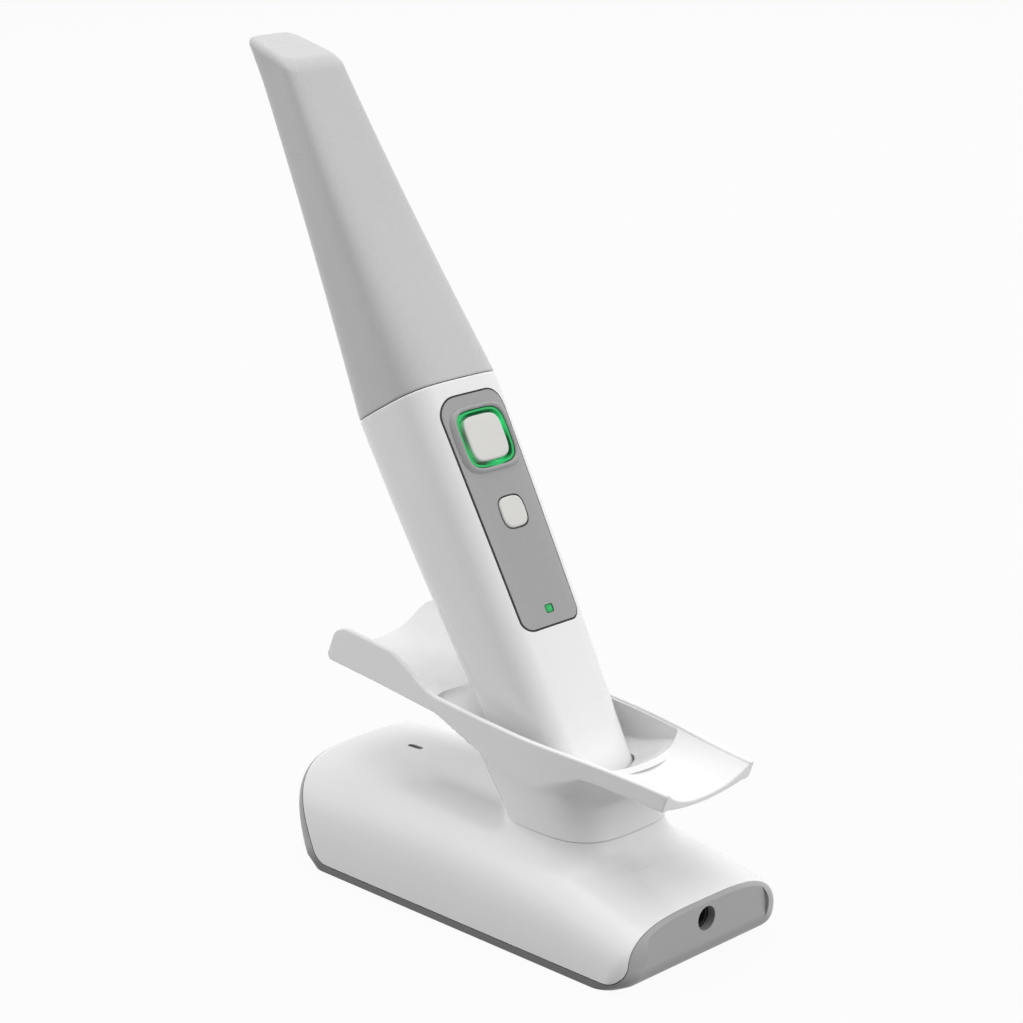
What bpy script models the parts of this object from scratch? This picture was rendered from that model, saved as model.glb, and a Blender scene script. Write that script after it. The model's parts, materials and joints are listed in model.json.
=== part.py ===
"""A wireless intraoral scanner resting in its charging cradle.

The origin is the centre of the base's underside, +Z is up, +X points to the end with the power inlet, and
the whole object is symmetric about the XZ plane. The handpiece leans back in the cradle: its pieces are
modelled upright about an empty, whose local X is the side with the buttons and whose local Z runs up the
handpiece, and the empty is then leaned over.
"""

import math

import bmesh
import bpy
from mathutils import Matrix, Vector

MM = 0.001
GAP = 0.3 * MM
BEYOND = 4 * MM
FAR = 100 * MM

# Handpiece: SEAT_PLACE is where the front of its lower end stands in the cradle. Its own frame leans
# with it and starts from the scan button's centre on the front surface
LEAN = math.radians(29.2)
SEAT_PLACE = (37.769 * MM, 0, 46.4035 * MM)
PARTING = 20.7 * MM
HANDLE_LENGTH = 142.7 * MM
END_CAP_LENGTH = 7 * MM
HANDLE_DEPTH_LOW = 32.3 * MM
HANDLE_DEPTH_TOP = 41.2 * MM
HANDLE_WIDTH_LOW = 30.6 * MM
HANDLE_WIDTH_TOP = 40 * MM
HANDLE_POWER = 3.53
HANDLE_TAPER = 0.074
HANDLE_BOW_DEPTH = 1.2 * MM
HANDLE_BOW_WIDTH = 2.2 * MM
HANDLE_WALL = 2.4 * MM
FRONT_WALL = 8.5 * MM
HEEL_LENGTH = 22 * MM
HEEL_CUT = 5.5 * MM
END_ROUND = 1.6 * MM

# Removable tip sleeve
TIP_LENGTH = 138.5 * MM
TIP_FRONT_DROP = 13.2 * MM
TIP_FRONT_HOLLOW = 2.1 * MM
TIP_BACK_RISE = 9 * MM
TIP_BACK_BOW = 1.6 * MM
TIP_WIDTH = 23.6 * MM
TIP_POWER = 6
TIP_TAPER = 0.12
TIP_WALL = 1.6 * MM
TIP_FACE = 124.2 * MM
TIP_EDGE_ROUND = 2.6 * MM
TIP_INNER_ROUND = 0.8 * MM
WINDOW_LENGTH = 16 * MM
WINDOW_WIDTH = 16 * MM
MIRROR_LENGTH = 16.5 * MM
MIRROR_WIDTH = 17 * MM
MIRROR_THICK = 1.2 * MM

# Optical nose inside the sleeve
NOSE_TOP = 112 * MM
NOSE_WALL = 1.8 * MM
NOSE_TOP_DEPTH = 14 * MM
NOSE_TOP_WIDTH = 19.6 * MM
NOSE_LOW_DEPTH = 30.4 * MM
NOSE_LOW_WIDTH = 29.6 * MM
NOSE_CENTRE = -20.6 * MM
NOSE_LEAN = -1.4 * MM
FLANGE_THICK = 6 * MM
GLASS_THICK = 1.6 * MM
SEAL_HEIGHT = 3 * MM
SEAL_DEPTH = 0.8 * MM

# Control panel and its buttons
PANEL_TOP = 15 * MM
PANEL_LENGTH = 79 * MM
PANEL_WIDTH_TOP = 28 * MM
PANEL_WIDTH_LOW = 24.6 * MM
PANEL_ROUND_TOP = 6.5 * MM
PANEL_ROUND_LOW = 4 * MM
PANEL_DEPTH = 4.2 * MM
RING_LENGTH = 19 * MM
RING_WIDTH = 20.6 * MM
CAP_LENGTH = 14.8 * MM
CAP_WIDTH = 16 * MM
CAP_PROUD = 0.9 * MM
CAP_TRAVEL = 0.8 * MM
CAP_FLANGE = 1.2 * MM
FLANGE_HEIGHT = 0.8 * MM
MODE_PLACE = -25.6 * MM
MODE_LENGTH = 10.4 * MM
MODE_WIDTH = 10.6 * MM
MODE_PROUD = 0.6 * MM
MODE_TRAVEL = 0.6 * MM
CROWN_INSET = 0.7 * MM
CROWN_HEIGHT = 0.5 * MM
LED_RISE = 5.2 * MM
LED_LENGTH = 2.6 * MM
LED_WIDTH = 3.4 * MM
LED_POWER = 2.6
LED_SIDES = 16
LED_SINK = 0.1 * MM
LIP_WIDTH = 1.6 * MM
LIP_PROUD = 0.5 * MM
LIP_ROOT = 1.5 * MM
SQUIRCLE_POWER = 4.6
SWITCH_SIDE = 6 * MM
BOARD_THICK = 1.2 * MM

# Inside the handle
FRAME_THICK = 1.5 * MM
FRAME_DEEP = 8 * MM
FRAME_TOP = 4 * MM
FRAME_SIDE_SPACE = 1 * MM
MAIN_BOARD_WIDTH = 22 * MM
MAIN_BOARD_LENGTH = 88 * MM
CELL_DEPTH = 10.5 * MM
CELL_WIDTH = 20 * MM
CELL_LENGTH = 62 * MM
CELL_ROUND = 3 * MM
PROJECTOR_WIDTH = 14 * MM
PROJECTOR_DEPTH = 12 * MM
PROJECTOR_LENGTH = 20 * MM
BARREL_RADIUS = 4.2 * MM
BARREL_BORE = 3 * MM
BARREL_LENGTH = 56 * MM
MODULE_EDGE = 0.8 * MM
CAMERA_SIDE = 7 * MM
CAMERA_LENGTH = 9 * MM
CAMERA_SPREAD = 8.6 * MM

# Charging contacts
CONTACT_PITCH = 5 * MM
CONTACT_RADIUS = 1.5 * MM
CONTACT_THICK = 1.2 * MM
CONTACT_CENTRE = -16 * MM
PIN_RADIUS = 0.9 * MM
PIN_CLEARANCE = 0.35 * MM
PIN_LENGTH = 6.4 * MM
BLOCK_DEPTH = 12 * MM
BLOCK_WIDTH = 22 * MM
BLOCK_HEIGHT = 8 * MM
CHARGE_BOARD_WIDTH = 24 * MM
CHARGE_BOARD_DEPTH = 17 * MM

# Cradle tray, bowl, neck and cup
TRAY_LEFT = -75.6 * MM
TRAY_RIGHT = 76.5 * MM
TRAY_TILT = -0.083
TRAY_FLOOR = 64.77 * MM
TRAY_THICK = 2.4 * MM
TRAY_END_HALF = 21.8 * MM
TRAY_MID_HALF = 24.9 * MM
TRAY_MID = 9 * MM
TRAY_POWER_LEFT = 4.6
TRAY_POWER_RIGHT = 3.8
WALL_LEFT = 11.3 * MM
WALL_MID = 3.7 * MM
WALL_RIGHT = 4.6 * MM
WALL_STEP_START = -41 * MM
WALL_STEP_END = -20 * MM
WALL_TOP_LEFT = 83.5 * MM
WALL_CORNER = 7 * MM
WALL_SLANT = 3 * MM
BOWL_RIM_RIGHT = 49.6 * MM
BOWL_SIDE_WALL = 1.9 * MM
BOWL_INSET = 0.2 * MM
BOWL_RINGS = [
    (-2 * MM, 48 * MM, 30 * MM, 46 * MM, 14 * MM),
    (-7 * MM, 52.5 * MM, 33.5 * MM, 49.5 * MM, 18.5 * MM),
    (-9 * MM, 56 * MM, 36 * MM, 51.8 * MM, 21 * MM),
    (-13 * MM, 60.2 * MM, 40.5 * MM, 54.9 * MM, 26 * MM),
    (-21.5 * MM, 64.6 * MM, 45.5 * MM, 58.3 * MM, 33.5 * MM),
    (-28.5 * MM, 67.15 * MM, BOWL_RIM_RIGHT, 60.65 * MM, 39 * MM),
]
NECK_ROWS = [
    (-1.8 * MM, 41.5 * MM, 43 * MM, 41.5 * MM, 23.6 * MM, 2.6),
    (-6.4 * MM, 47.5 * MM, 39.5 * MM, 46 * MM, 24 * MM, 2.3),
]
NECK_FOOT = 36.3 * MM
NECK_CENTRE = 24 * MM
NECK_HALF_LENGTH = 22 * MM
NECK_HALF_WIDTH = 23.3 * MM
NECK_POWER = 3
NECK_SIDE_SHARE = 0.6
CUP_CLEARANCE = 0.8 * MM
CUP_WALL = 2 * MM

# Base
BASE_HALF_WIDTH = 38.35 * MM
BASE_HEIGHT = 35.14 * MM
BASE_FALL = 4.29 * MM
BASE_CROWN = 2.65 * MM
BASE_SPAN = 50 * MM
BASE_STRAIGHT = 52 * MM
BASE_POWER = 3.52
BASE_SIDE_LEAN = 0.039
BASE_END = 73.45 * MM
BASE_END_LEAN = 0.376
BASE_END_ROUND = 7.7 * MM
BASE_HEEL_ROUND = 8.87 * MM
BASE_FOOT = 0.4 * MM
BASE_WALL = 2.5 * MM
STRIP_HEIGHT = 3.15 * MM
COVER_RIGHT = 74.2 * MM
COVER_LEFT_LOW = -64.5 * MM
COVER_LEFT_HIGH = -81.6 * MM
COVER_CORNER = 7 * MM
COVER_ABOVE = 8 * MM
RECESS_FLOOR = 75.9 * MM
RECESS_HALF = 29 * MM
RECESS_TOP = 21 * MM
RECESS_ROUND = 9 * MM
RECESS_CORNER = 1 * MM
BULKHEAD = 73 * MM
COLLAR_TOP = 36 * MM
COLLAR_ROWS = [
    (11 * MM, 2.4 * MM, 6.7 * MM, 2.6),
    (6 * MM, 1.6 * MM, 4.7 * MM, 2.7),
    (2.5 * MM, 0.7 * MM, 1.6 * MM, 2.9),
    (0, 0, 0, NECK_POWER),
]
COLLAR_LEDGE = 2.4 * MM
SLOT_PLACE = -56 * MM
SLOT_LENGTH = 6 * MM
SLOT_WIDTH = 1.8 * MM
SLOT_POWER = 4
JACK_HEIGHT = 15.5 * MM
JACK_HOLE = 4.05 * MM
JACK_BORE = 3.1 * MM
JACK_DEPTH = 9 * MM
JACK_SIDE = 8 * MM
JACK_LENGTH = 13 * MM
JACK_PIN = 1 * MM
JACK_PIN_SHORT = 1 * MM
PAD_LENGTH = 118 * MM
PAD_WIDTH = 56 * MM
PAD_THICK = 1.4 * MM
PAD_ROUND = 12 * MM
BALLAST_LENGTH = 96 * MM
BALLAST_WIDTH = 50 * MM
BALLAST_THICK = 6 * MM
PLATE_EDGE = 1 * MM

# Facets
AROUND = 40
HALF_AROUND = 22
ARC_STEPS = 5
DISC_SIDES = 24


def collection(name):
    made = bpy.data.collections.new(name)
    bpy.context.scene.collection.children.link(made)
    return made


for old in list(bpy.data.objects):
    bpy.data.objects.remove(old)
PARTS = collection("intraoral_scanner")
CUTTERS = collection("cutters")


def material(name, colour, roughness, metallic=0.0, alpha=1.0):
    made = bpy.data.materials.new(name)
    made.use_nodes = True
    shader = made.node_tree.nodes["Principled BSDF"]
    shader.inputs["Base Color"].default_value = (*colour, 1)
    shader.inputs["Roughness"].default_value = roughness
    shader.inputs["Metallic"].default_value = metallic
    shader.inputs["Alpha"].default_value = alpha
    made.diffuse_color = (*colour, alpha)
    return made


WHITE = material("white_gloss", (0.82, 0.82, 0.82), 0.25)
SLEEVE_GREY = material("sleeve_grey", (0.5, 0.5, 0.5), 0.35)
PANEL_GREY = material("panel_grey", (0.24, 0.24, 0.24), 0.4)
FRAME_GREY = material("frame_grey", (0.3, 0.3, 0.3), 0.45)
CAP_WHITE = material("cap_white", (0.65, 0.65, 0.62), 0.4)
LIGHT_GREEN = material("light_green", (0.02, 0.6, 0.12), 0.2)
BOARD_GREEN = material("board_green", (0.02, 0.16, 0.06), 0.5)
DARK = material("dark_plastic", (0.03, 0.03, 0.03), 0.5)
STEEL = material("steel", (0.55, 0.55, 0.55), 0.35, 1.0)
ALUMINIUM = material("aluminium", (0.7, 0.7, 0.7), 0.4, 1.0)
GOLD = material("gold", (0.9, 0.65, 0.25), 0.25, 1.0)
GLASS = material("clear_glass", (0.8, 0.9, 0.9), 0.05, 0.0, 0.35)
MIRROR = material("mirror_silver", (0.9, 0.9, 0.9), 0.03, 1.0)
RUBBER = material("rubber", (0.05, 0.05, 0.05), 0.8)
CELL_BLUE = material("cell_wrap", (0.05, 0.12, 0.4), 0.4)

HANDPIECE = bpy.data.objects.new("handpiece_axis", None)
HANDLE_BOTTOM = PARTING - HANDLE_LENGTH
CAP_TOP = HANDLE_BOTTOM + END_CAP_LENGTH
LED_PLACE = PANEL_TOP - PANEL_LENGTH + LED_RISE
HANDPIECE.location = Vector(SEAT_PLACE) - HANDLE_BOTTOM * Vector((-math.sin(LEAN), 0, math.cos(LEAN)))
HANDPIECE.rotation_euler = (0, -LEAN, 0)
PARTS.objects.link(HANDPIECE)


def adopt(obj, finish=None, parent=None):
    """Put an object with the parts, or with the cutters when it has no finish."""
    if finish:
        obj.data.materials.append(finish)
        PARTS.objects.link(obj)
    else:
        obj.hide_render = True
        obj.display_type = "WIRE"
        CUTTERS.objects.link(obj)
    obj.parent = parent
    return obj


def from_bmesh(name, bm, finish=None, parent=None):
    bmesh.ops.recalc_face_normals(bm, faces=bm.faces)
    mesh = bpy.data.meshes.new(name)
    bm.to_mesh(mesh)
    bm.free()
    mesh.shade_smooth()
    mesh.set_sharp_from_angle(angle=math.radians(35))
    return adopt(bpy.data.objects.new(name, mesh), finish, parent)


def loft(name, rings, finish=None, parent=None):
    """Skin rings of equally many points and close both ends."""
    bm = bmesh.new()
    rows = [[bm.verts.new(point) for point in ring] for ring in rings]
    for low, high in zip(rows, rows[1:]):
        for a in range(len(low)):
            b = (a + 1) % len(low)
            bm.faces.new((low[a], low[b], high[b], high[a]))
    bm.faces.new(rows[0][::-1])
    bm.faces.new(rows[-1])
    return from_bmesh(name, bm, finish, parent)


def box(name, size, centre, finish=None, parent=None, turn=None, edge=0.0):
    bm = bmesh.new()
    bmesh.ops.create_cube(bm, size=1, matrix=Matrix.Diagonal((*size, 1)))
    obj = from_bmesh(name, bm, finish, parent)
    obj.location = centre
    if turn:
        obj.rotation_euler = turn
    if edge:
        bevel = obj.modifiers.new("edge", "BEVEL")
        bevel.width = edge
        bevel.segments = 2
    return obj


def turned(name, profile, centre, finish=None, parent=None, turn=(0, 0, 0)):
    """Turn a closed profile of (radius, height) about the local Z axis."""
    mesh = bpy.data.meshes.new(name)
    edges = [(i, i + 1) for i in range(len(profile) - 1)]
    if profile[0][0] > 0:
        edges.append((len(profile) - 1, 0))
    mesh.from_pydata([(r, 0, h) for r, h in profile], edges, [])
    obj = adopt(bpy.data.objects.new(name, mesh), finish, parent)
    obj.location = centre
    obj.rotation_euler = turn
    screw = obj.modifiers.new("turn", "SCREW")
    screw.steps = DISC_SIDES
    screw.render_steps = DISC_SIDES
    screw.use_merge_vertices = True
    screw.merge_threshold = 0.01 * MM
    return obj


def disc_profile(radius, low, high):
    return [(0, high), (radius, high), (radius, low), (0, low)]


def rounded_outline(corners):
    """The outline through (x, y, radius) corners, each rounded by an arc."""
    points = []
    count = len(corners)
    for i, (x, y, radius) in enumerate(corners):
        here = Vector((x, y))
        back = (Vector(corners[i - 1][:2]) - here).normalized()
        ahead = (Vector(corners[(i + 1) % count][:2]) - here).normalized()
        if radius == 0:
            points.append(here)
            continue
        half = back.angle(ahead) / 2
        reach = radius / math.tan(half)
        centre = here + (back + ahead).normalized() * (radius / math.sin(half))
        start = here + back * reach - centre
        sweep = start.angle_signed(here + ahead * reach - centre)
        for step in range(ARC_STEPS + 1):
            spoke = start.copy()
            spoke.rotate(Matrix.Rotation(-sweep * step / ARC_STEPS, 2))
            points.append(centre + spoke)
    return points


def plate(name, outline, thick, place, finish=None, parent=None):
    """Extrude a flat outline half its thickness each way and put it at a place, as one welded mesh."""
    curve = bpy.data.curves.new(name, "CURVE")
    curve.dimensions = "2D"
    curve.fill_mode = "BOTH"
    curve.extrude = thick / 2
    spline = curve.splines.new("POLY")
    spline.points.add(len(outline) - 1)
    for point, at in zip(spline.points, outline):
        point.co = (at[0], at[1], 0, 1)
    spline.use_cyclic_u = True
    drawn = bpy.data.objects.new(name + "_curve", curve)
    bpy.context.scene.collection.objects.link(drawn)
    drawn.matrix_world = place
    bpy.context.view_layer.update()
    mesh = bpy.data.meshes.new_from_object(drawn.evaluated_get(bpy.context.evaluated_depsgraph_get()))
    bm = bmesh.new()
    bm.from_mesh(mesh)
    bmesh.ops.remove_doubles(bm, verts=bm.verts, dist=0.001 * MM)
    bm.to_mesh(mesh)
    bm.free()
    mesh.name = name
    made = adopt(bpy.data.objects.new(name, mesh), finish, parent)
    made.matrix_local = drawn.matrix_world
    bpy.data.objects.remove(drawn)
    return made


def facing(direction, centre):
    """The placement that sets a flat outline square to an axis: its own x and y stay upright and level."""
    turns = {
        "x": Matrix(((0, 0, 1), (1, 0, 0), (0, 1, 0))),
        "y": Matrix(((1, 0, 0), (0, 0, -1), (0, 1, 0))),
        "z": Matrix.Identity(3),
    }
    return Matrix.Translation(centre) @ turns[direction].to_4x4()


def cut(target, *cutters, operation="DIFFERENCE", solver="EXACT"):
    for cutter in cutters:
        step = target.modifiers.new(cutter.name, "BOOLEAN")
        step.operation = operation
        step.solver = solver
        step.object = cutter


def blend(low, high, share, bow=0.0):
    """A value on a straight run from low to high, bowed by so much in the middle."""
    return low + (high - low) * share + 4 * bow * share * (1 - share)


def signed_power(value, power):
    return math.copysign(abs(value) ** power, value)


def oval(half_x, half_y, power, taper=0.0, count=AROUND):
    """A squared oval round the origin, wider at its +X side by the taper."""
    points = []
    for step in range(count):
        angle = math.tau * step / count
        x = signed_power(math.cos(angle), 2 / power)
        y = signed_power(math.sin(angle), 2 / power) * (1 + taper * x)
        points.append((half_x * x, half_y * y))
    return points


def squircle(length, width, power=SQUIRCLE_POWER, count=32):
    """A button's outline: its width runs across the handpiece and its length along it."""
    return oval(width / 2, length / 2, power, 0, count)


# Handpiece

def handle_ring(height, grow=0.0, front=None):
    """The handle's cross-section at a height, grown outwards, with its front moved where given."""
    share = (height - HANDLE_BOTTOM) / HANDLE_LENGTH
    depth = blend(HANDLE_DEPTH_LOW, HANDLE_DEPTH_TOP, share, HANDLE_BOW_DEPTH)
    half_width = blend(HANDLE_WIDTH_LOW, HANDLE_WIDTH_TOP, share, HANDLE_BOW_WIDTH) / 2 + grow
    heel = max(0, (HANDLE_BOTTOM + HEEL_LENGTH - height) / HEEL_LENGTH)
    back = -depth + HEEL_CUT * heel * heel - grow
    face = grow if front is None else front
    middle = (face + back) / 2
    outline = oval((face - back) / 2, half_width, HANDLE_POWER, HANDLE_TAPER)
    return [(middle + x, y, height) for x, y in outline]


def evenly(low, high, count):
    return [blend(low, high, step / (count - 1)) for step in range(count)]


def handle_heights(low, high):
    """The heights of the handle's sections, the same for all that follows its surface."""
    heel_top = HANDLE_BOTTOM + HEEL_LENGTH
    shared = evenly(HANDLE_BOTTOM, heel_top, 5) + evenly(heel_top, PARTING, 4)[1:]
    return [low] + [height for height in shared if low + GAP < height < high - GAP] + [high]


def handle_solid(name, low, high, grow=0.0, front=None, finish=None):
    rings = [handle_ring(height, grow, front) for height in handle_heights(low, high)]
    return loft(name, rings, finish, HANDPIECE)


def sleeve_share(height):
    return (height - PARTING) / (TIP_LENGTH - PARTING)


def sleeve_ring(height, inset=0.0):
    share = sleeve_share(height)
    front = blend(0, -TIP_FRONT_DROP, share, -TIP_FRONT_HOLLOW) - inset
    back = blend(-HANDLE_DEPTH_TOP, TIP_BACK_RISE - HANDLE_DEPTH_TOP, share, TIP_BACK_BOW) + inset
    level = min(share, 1)
    half_width = blend(HANDLE_WIDTH_TOP, TIP_WIDTH, level) / 2 - inset
    power = blend(HANDLE_POWER, TIP_POWER, level)
    taper = blend(HANDLE_TAPER, TIP_TAPER, level)
    outline = oval((front - back) / 2, half_width, power, taper)
    return [((front + back) / 2 + x, y, height) for x, y in outline]


def sleeve_solid(name, low, inset=0.0, finish=None):
    top = TIP_FACE + HANDLE_DEPTH_TOP
    heights = [low] + [blend(PARTING, top, step / 9) for step in range(1, 10)]
    return loft(name, [sleeve_ring(height, inset) for height in heights], finish, HANDPIECE)


def face_outline(inset, low):
    """Seen from the side: everything under the slanted end face, with both of its edges rounded."""
    front = sleeve_ring(TIP_FACE + TIP_FRONT_DROP)[0][0] - inset + 2 * GAP
    back = TIP_BACK_RISE - HANDLE_DEPTH_TOP + inset - GAP
    face = TIP_FACE - inset * math.sqrt(2)
    shoulder = face - back - 3 * TIP_EDGE_ROUND
    front_shoulder = face - front - 3 * TIP_EDGE_ROUND
    return rounded_outline([
        (FAR, low, 0),
        (FAR, front_shoulder, 0),
        (front, front_shoulder, 0),
        (front, face - front, TIP_EDGE_ROUND),
        (back, face - back, max(TIP_EDGE_ROUND - inset, TIP_INNER_ROUND)),
        (back, shoulder, 0),
        (-FAR, shoulder, 0),
        (-FAR, low, 0),
    ])


def panel_outline(grow=0.0):
    top = PANEL_WIDTH_TOP / 2 + grow
    low = PANEL_WIDTH_LOW / 2 + grow
    bottom = PANEL_TOP - PANEL_LENGTH
    return rounded_outline([
        (-top, PANEL_TOP + grow, PANEL_ROUND_TOP + grow),
        (-low, bottom - grow, PANEL_ROUND_LOW + grow),
        (low, bottom - grow, PANEL_ROUND_LOW + grow),
        (top, PANEL_TOP + grow, PANEL_ROUND_TOP + grow),
    ])


def through_front(name, outline, low, high, height=0.0, finish=None):
    """A solid with this outline, standing out from the handle's front between two depths."""
    place = facing("x", ((low + high) / 2, 0, height))
    return plate(name, outline, high - low, place, finish, HANDPIECE)


def button(name, length, width, proud, height, finish):
    """A cap on a wider flange, which the panel or the light ring keeps in."""
    flange_top = -PANEL_DEPTH
    flange_low = flange_top - FLANGE_HEIGHT
    wide = squircle(length + 2 * CAP_FLANGE, width + 2 * CAP_FLANGE)
    narrow = squircle(length, width)
    crown = squircle(length - 2 * CROWN_INSET, width - 2 * CROWN_INSET)
    rings = [
        [(flange_low, x, y) for x, y in wide],
        [(flange_top, x, y) for x, y in wide],
        [(flange_top + 0.01 * MM, x, y) for x, y in narrow],
        [(proud - CROWN_HEIGHT, x, y) for x, y in narrow],
        [(proud, x, y) for x, y in crown],
    ]
    cap = loft(name, rings, finish, HANDPIECE)
    cap.location = (0, 0, height)
    return cap


def switch(name, travel, height):
    low = -FRONT_WALL
    high = -PANEL_DEPTH - FLANGE_HEIGHT - travel - GAP
    box(name, (high - low, SWITCH_SIDE, SWITCH_SIDE), ((low + high) / 2, 0, height), DARK, HANDPIECE)


def make_handle():
    rings = []
    for step in range(ARC_STEPS):
        angle = math.radians(90) * step / ARC_STEPS
        rings.append(handle_ring(HANDLE_BOTTOM + END_ROUND * (1 - math.cos(angle)),
                                 -END_ROUND * (1 - math.sin(angle))))
    rings += [handle_ring(height) for height in handle_heights(HANDLE_BOTTOM + END_ROUND, PARTING)]
    shell = loft("handle_shell", rings, WHITE, HANDPIECE)
    hollow = handle_solid("handle_hollow", HANDLE_BOTTOM - BEYOND, PARTING + BEYOND, -HANDLE_WALL, -FRONT_WALL)
    seat = through_front("panel_seat", panel_outline(GAP), -PANEL_DEPTH, BEYOND)
    pocket_low = -FRONT_WALL - BEYOND
    reach = 2 * (CAP_FLANGE + GAP)
    pocket = through_front(
        "scan_pocket", squircle(RING_LENGTH + reach, RING_WIDTH + reach), pocket_low, -PANEL_DEPTH + GAP
    )
    mode_pocket = through_front(
        "mode_pocket", squircle(MODE_LENGTH + reach, MODE_WIDTH + reach), pocket_low,
        -PANEL_DEPTH + GAP, MODE_PLACE,
    )
    led_pocket = through_front(
        "led_pocket", squircle(LED_LENGTH + reach, LED_WIDTH + reach, LED_POWER, LED_SIDES), pocket_low,
        -PANEL_DEPTH + GAP, LED_PLACE,
    )
    cut(shell, hollow, seat, pocket, mode_pocket, led_pocket)


def make_panel():
    panel = through_front("control_panel", panel_outline(), -PANEL_DEPTH + GAP, BEYOND, finish=PANEL_GREY)
    skin = handle_solid("panel_skin", HANDLE_BOTTOM, PARTING + BEYOND)
    cut(panel, skin, operation="INTERSECT")
    lip_outer = through_front(
        "lip_outer", squircle(RING_LENGTH + 2 * LIP_WIDTH, RING_WIDTH + 2 * LIP_WIDTH),
        -LIP_ROOT, LIP_PROUD,
    )
    cut(panel, lip_outer, operation="UNION")
    clear = 2 * GAP
    cut(
        panel,
        through_front("ring_hole", squircle(RING_LENGTH + clear, RING_WIDTH + clear), -2 * PANEL_DEPTH, BEYOND),
        through_front("mode_hole", squircle(MODE_LENGTH + clear, MODE_WIDTH + clear), -2 * PANEL_DEPTH,
                      BEYOND, MODE_PLACE),
        through_front("led_hole", squircle(LED_LENGTH + clear, LED_WIDTH + clear, LED_POWER, LED_SIDES),
                      -2 * PANEL_DEPTH, BEYOND, LED_PLACE),
    )
    ring = through_front("ring_light", squircle(RING_LENGTH, RING_WIDTH), -PANEL_DEPTH + GAP, 0,
                         finish=LIGHT_GREEN)
    cut(ring, through_front("cap_hole", squircle(CAP_LENGTH + clear, CAP_WIDTH + clear), -2 * PANEL_DEPTH,
                            BEYOND))
    button("scan_button", CAP_LENGTH, CAP_WIDTH, CAP_PROUD, 0, CAP_WHITE)
    button("mode_button", MODE_LENGTH, MODE_WIDTH, MODE_PROUD, MODE_PLACE, CAP_WHITE)
    through_front("status_window", squircle(LED_LENGTH, LED_WIDTH, LED_POWER, LED_SIDES), -FRONT_WALL,
                  -LED_SINK, LED_PLACE, LIGHT_GREEN)
    switch("scan_switch", CAP_TRAVEL, 0)
    switch("mode_switch", MODE_TRAVEL, MODE_PLACE)


def make_handle_inside():
    board_front = -FRONT_WALL - GAP
    board_top = RING_LENGTH / 2
    board_low = LED_PLACE - 2 * LED_LENGTH
    box(
        "button_board", (BOARD_THICK, PROJECTOR_WIDTH, board_top - board_low),
        (board_front - BOARD_THICK / 2, 0, (board_top + board_low) / 2), BOARD_GREEN, HANDPIECE,
    )
    spine_front = board_front - BOARD_THICK - GAP - BOARD_THICK - GAP
    spine_back = spine_front - FRAME_THICK
    frame_low = CAP_TOP + GAP
    side = CELL_WIDTH / 2 + GAP
    low_half = HANDLE_WIDTH_LOW / 2 - HANDLE_WALL - FRAME_SIDE_SPACE
    high_half = HANDLE_WIDTH_TOP / 2 - HANDLE_WALL - 3 * FRAME_SIDE_SPACE
    place = facing("x", ((spine_front + spine_back) / 2, 0, 0))
    spine = plate(
        "inner_frame",
        [(-low_half, frame_low), (low_half, frame_low), (high_half, FRAME_TOP), (-high_half, FRAME_TOP)],
        FRAME_THICK, place, DARK, HANDPIECE,
    )
    rail_length = FRAME_TOP - frame_low
    for name, way in (("rail_left", -1), ("rail_right", 1)):
        rail = box(
            name, (FRAME_DEEP, FRAME_THICK, rail_length),
            (spine_back - FRAME_DEEP / 2 + FRAME_THICK / 2, way * (side + FRAME_THICK / 2),
             (FRAME_TOP + frame_low) / 2),
            None, HANDPIECE,
        )
        cut(spine, rail, operation="UNION")
    board_centre = frame_low + FRAME_THICK + MAIN_BOARD_LENGTH / 2
    box(
        "main_board", (BOARD_THICK, MAIN_BOARD_WIDTH, MAIN_BOARD_LENGTH),
        (spine_front + GAP + BOARD_THICK / 2, 0, board_centre), BOARD_GREEN, HANDPIECE,
    )
    cell_centre = frame_low + FRAME_THICK + CELL_LENGTH / 2
    box(
        "battery_cell", (CELL_DEPTH, CELL_WIDTH, CELL_LENGTH),
        (spine_back - GAP - CELL_DEPTH / 2, 0, cell_centre), CELL_BLUE, HANDPIECE, edge=CELL_ROUND,
    )
    projector_centre = FRAME_TOP - PROJECTOR_LENGTH / 2 - FRAME_THICK
    box(
        "projector_module", (PROJECTOR_DEPTH, PROJECTOR_WIDTH, PROJECTOR_LENGTH),
        (spine_back - GAP - PROJECTOR_DEPTH / 2, 0, projector_centre), ALUMINIUM, HANDPIECE, edge=MODULE_EDGE,
    )
    flange_low = PARTING - FLANGE_THICK
    turned(
        "lens_barrel",
        [(BARREL_RADIUS, BARREL_LENGTH), (BARREL_RADIUS, 0), (BARREL_BORE, 0), (BARREL_BORE, BARREL_LENGTH)],
        (spine_back - GAP - PROJECTOR_DEPTH / 2, 0, FRAME_TOP), DARK, HANDPIECE,
    )
    for name, way in (("camera_left", -1), ("camera_right", 1)):
        box(
            name, (CAMERA_SIDE, CAMERA_SIDE, CAMERA_LENGTH),
            (spine_back - GAP - PROJECTOR_DEPTH / 2, way * CAMERA_SPREAD,
             flange_low + FLANGE_THICK / 2),
            DARK, HANDPIECE, edge=MODULE_EDGE,
        )


def nose_ring(height, inset=0.0):
    share = (height - PARTING) / (NOSE_TOP - PARTING)
    depth = blend(NOSE_LOW_DEPTH, NOSE_TOP_DEPTH, share) / 2 - inset
    width = blend(NOSE_LOW_WIDTH, NOSE_TOP_WIDTH, share) / 2 - inset
    centre = NOSE_CENTRE + NOSE_LEAN * share
    return [(centre + x, y, height) for x, y in oval(depth, width, HANDLE_POWER)]


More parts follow.
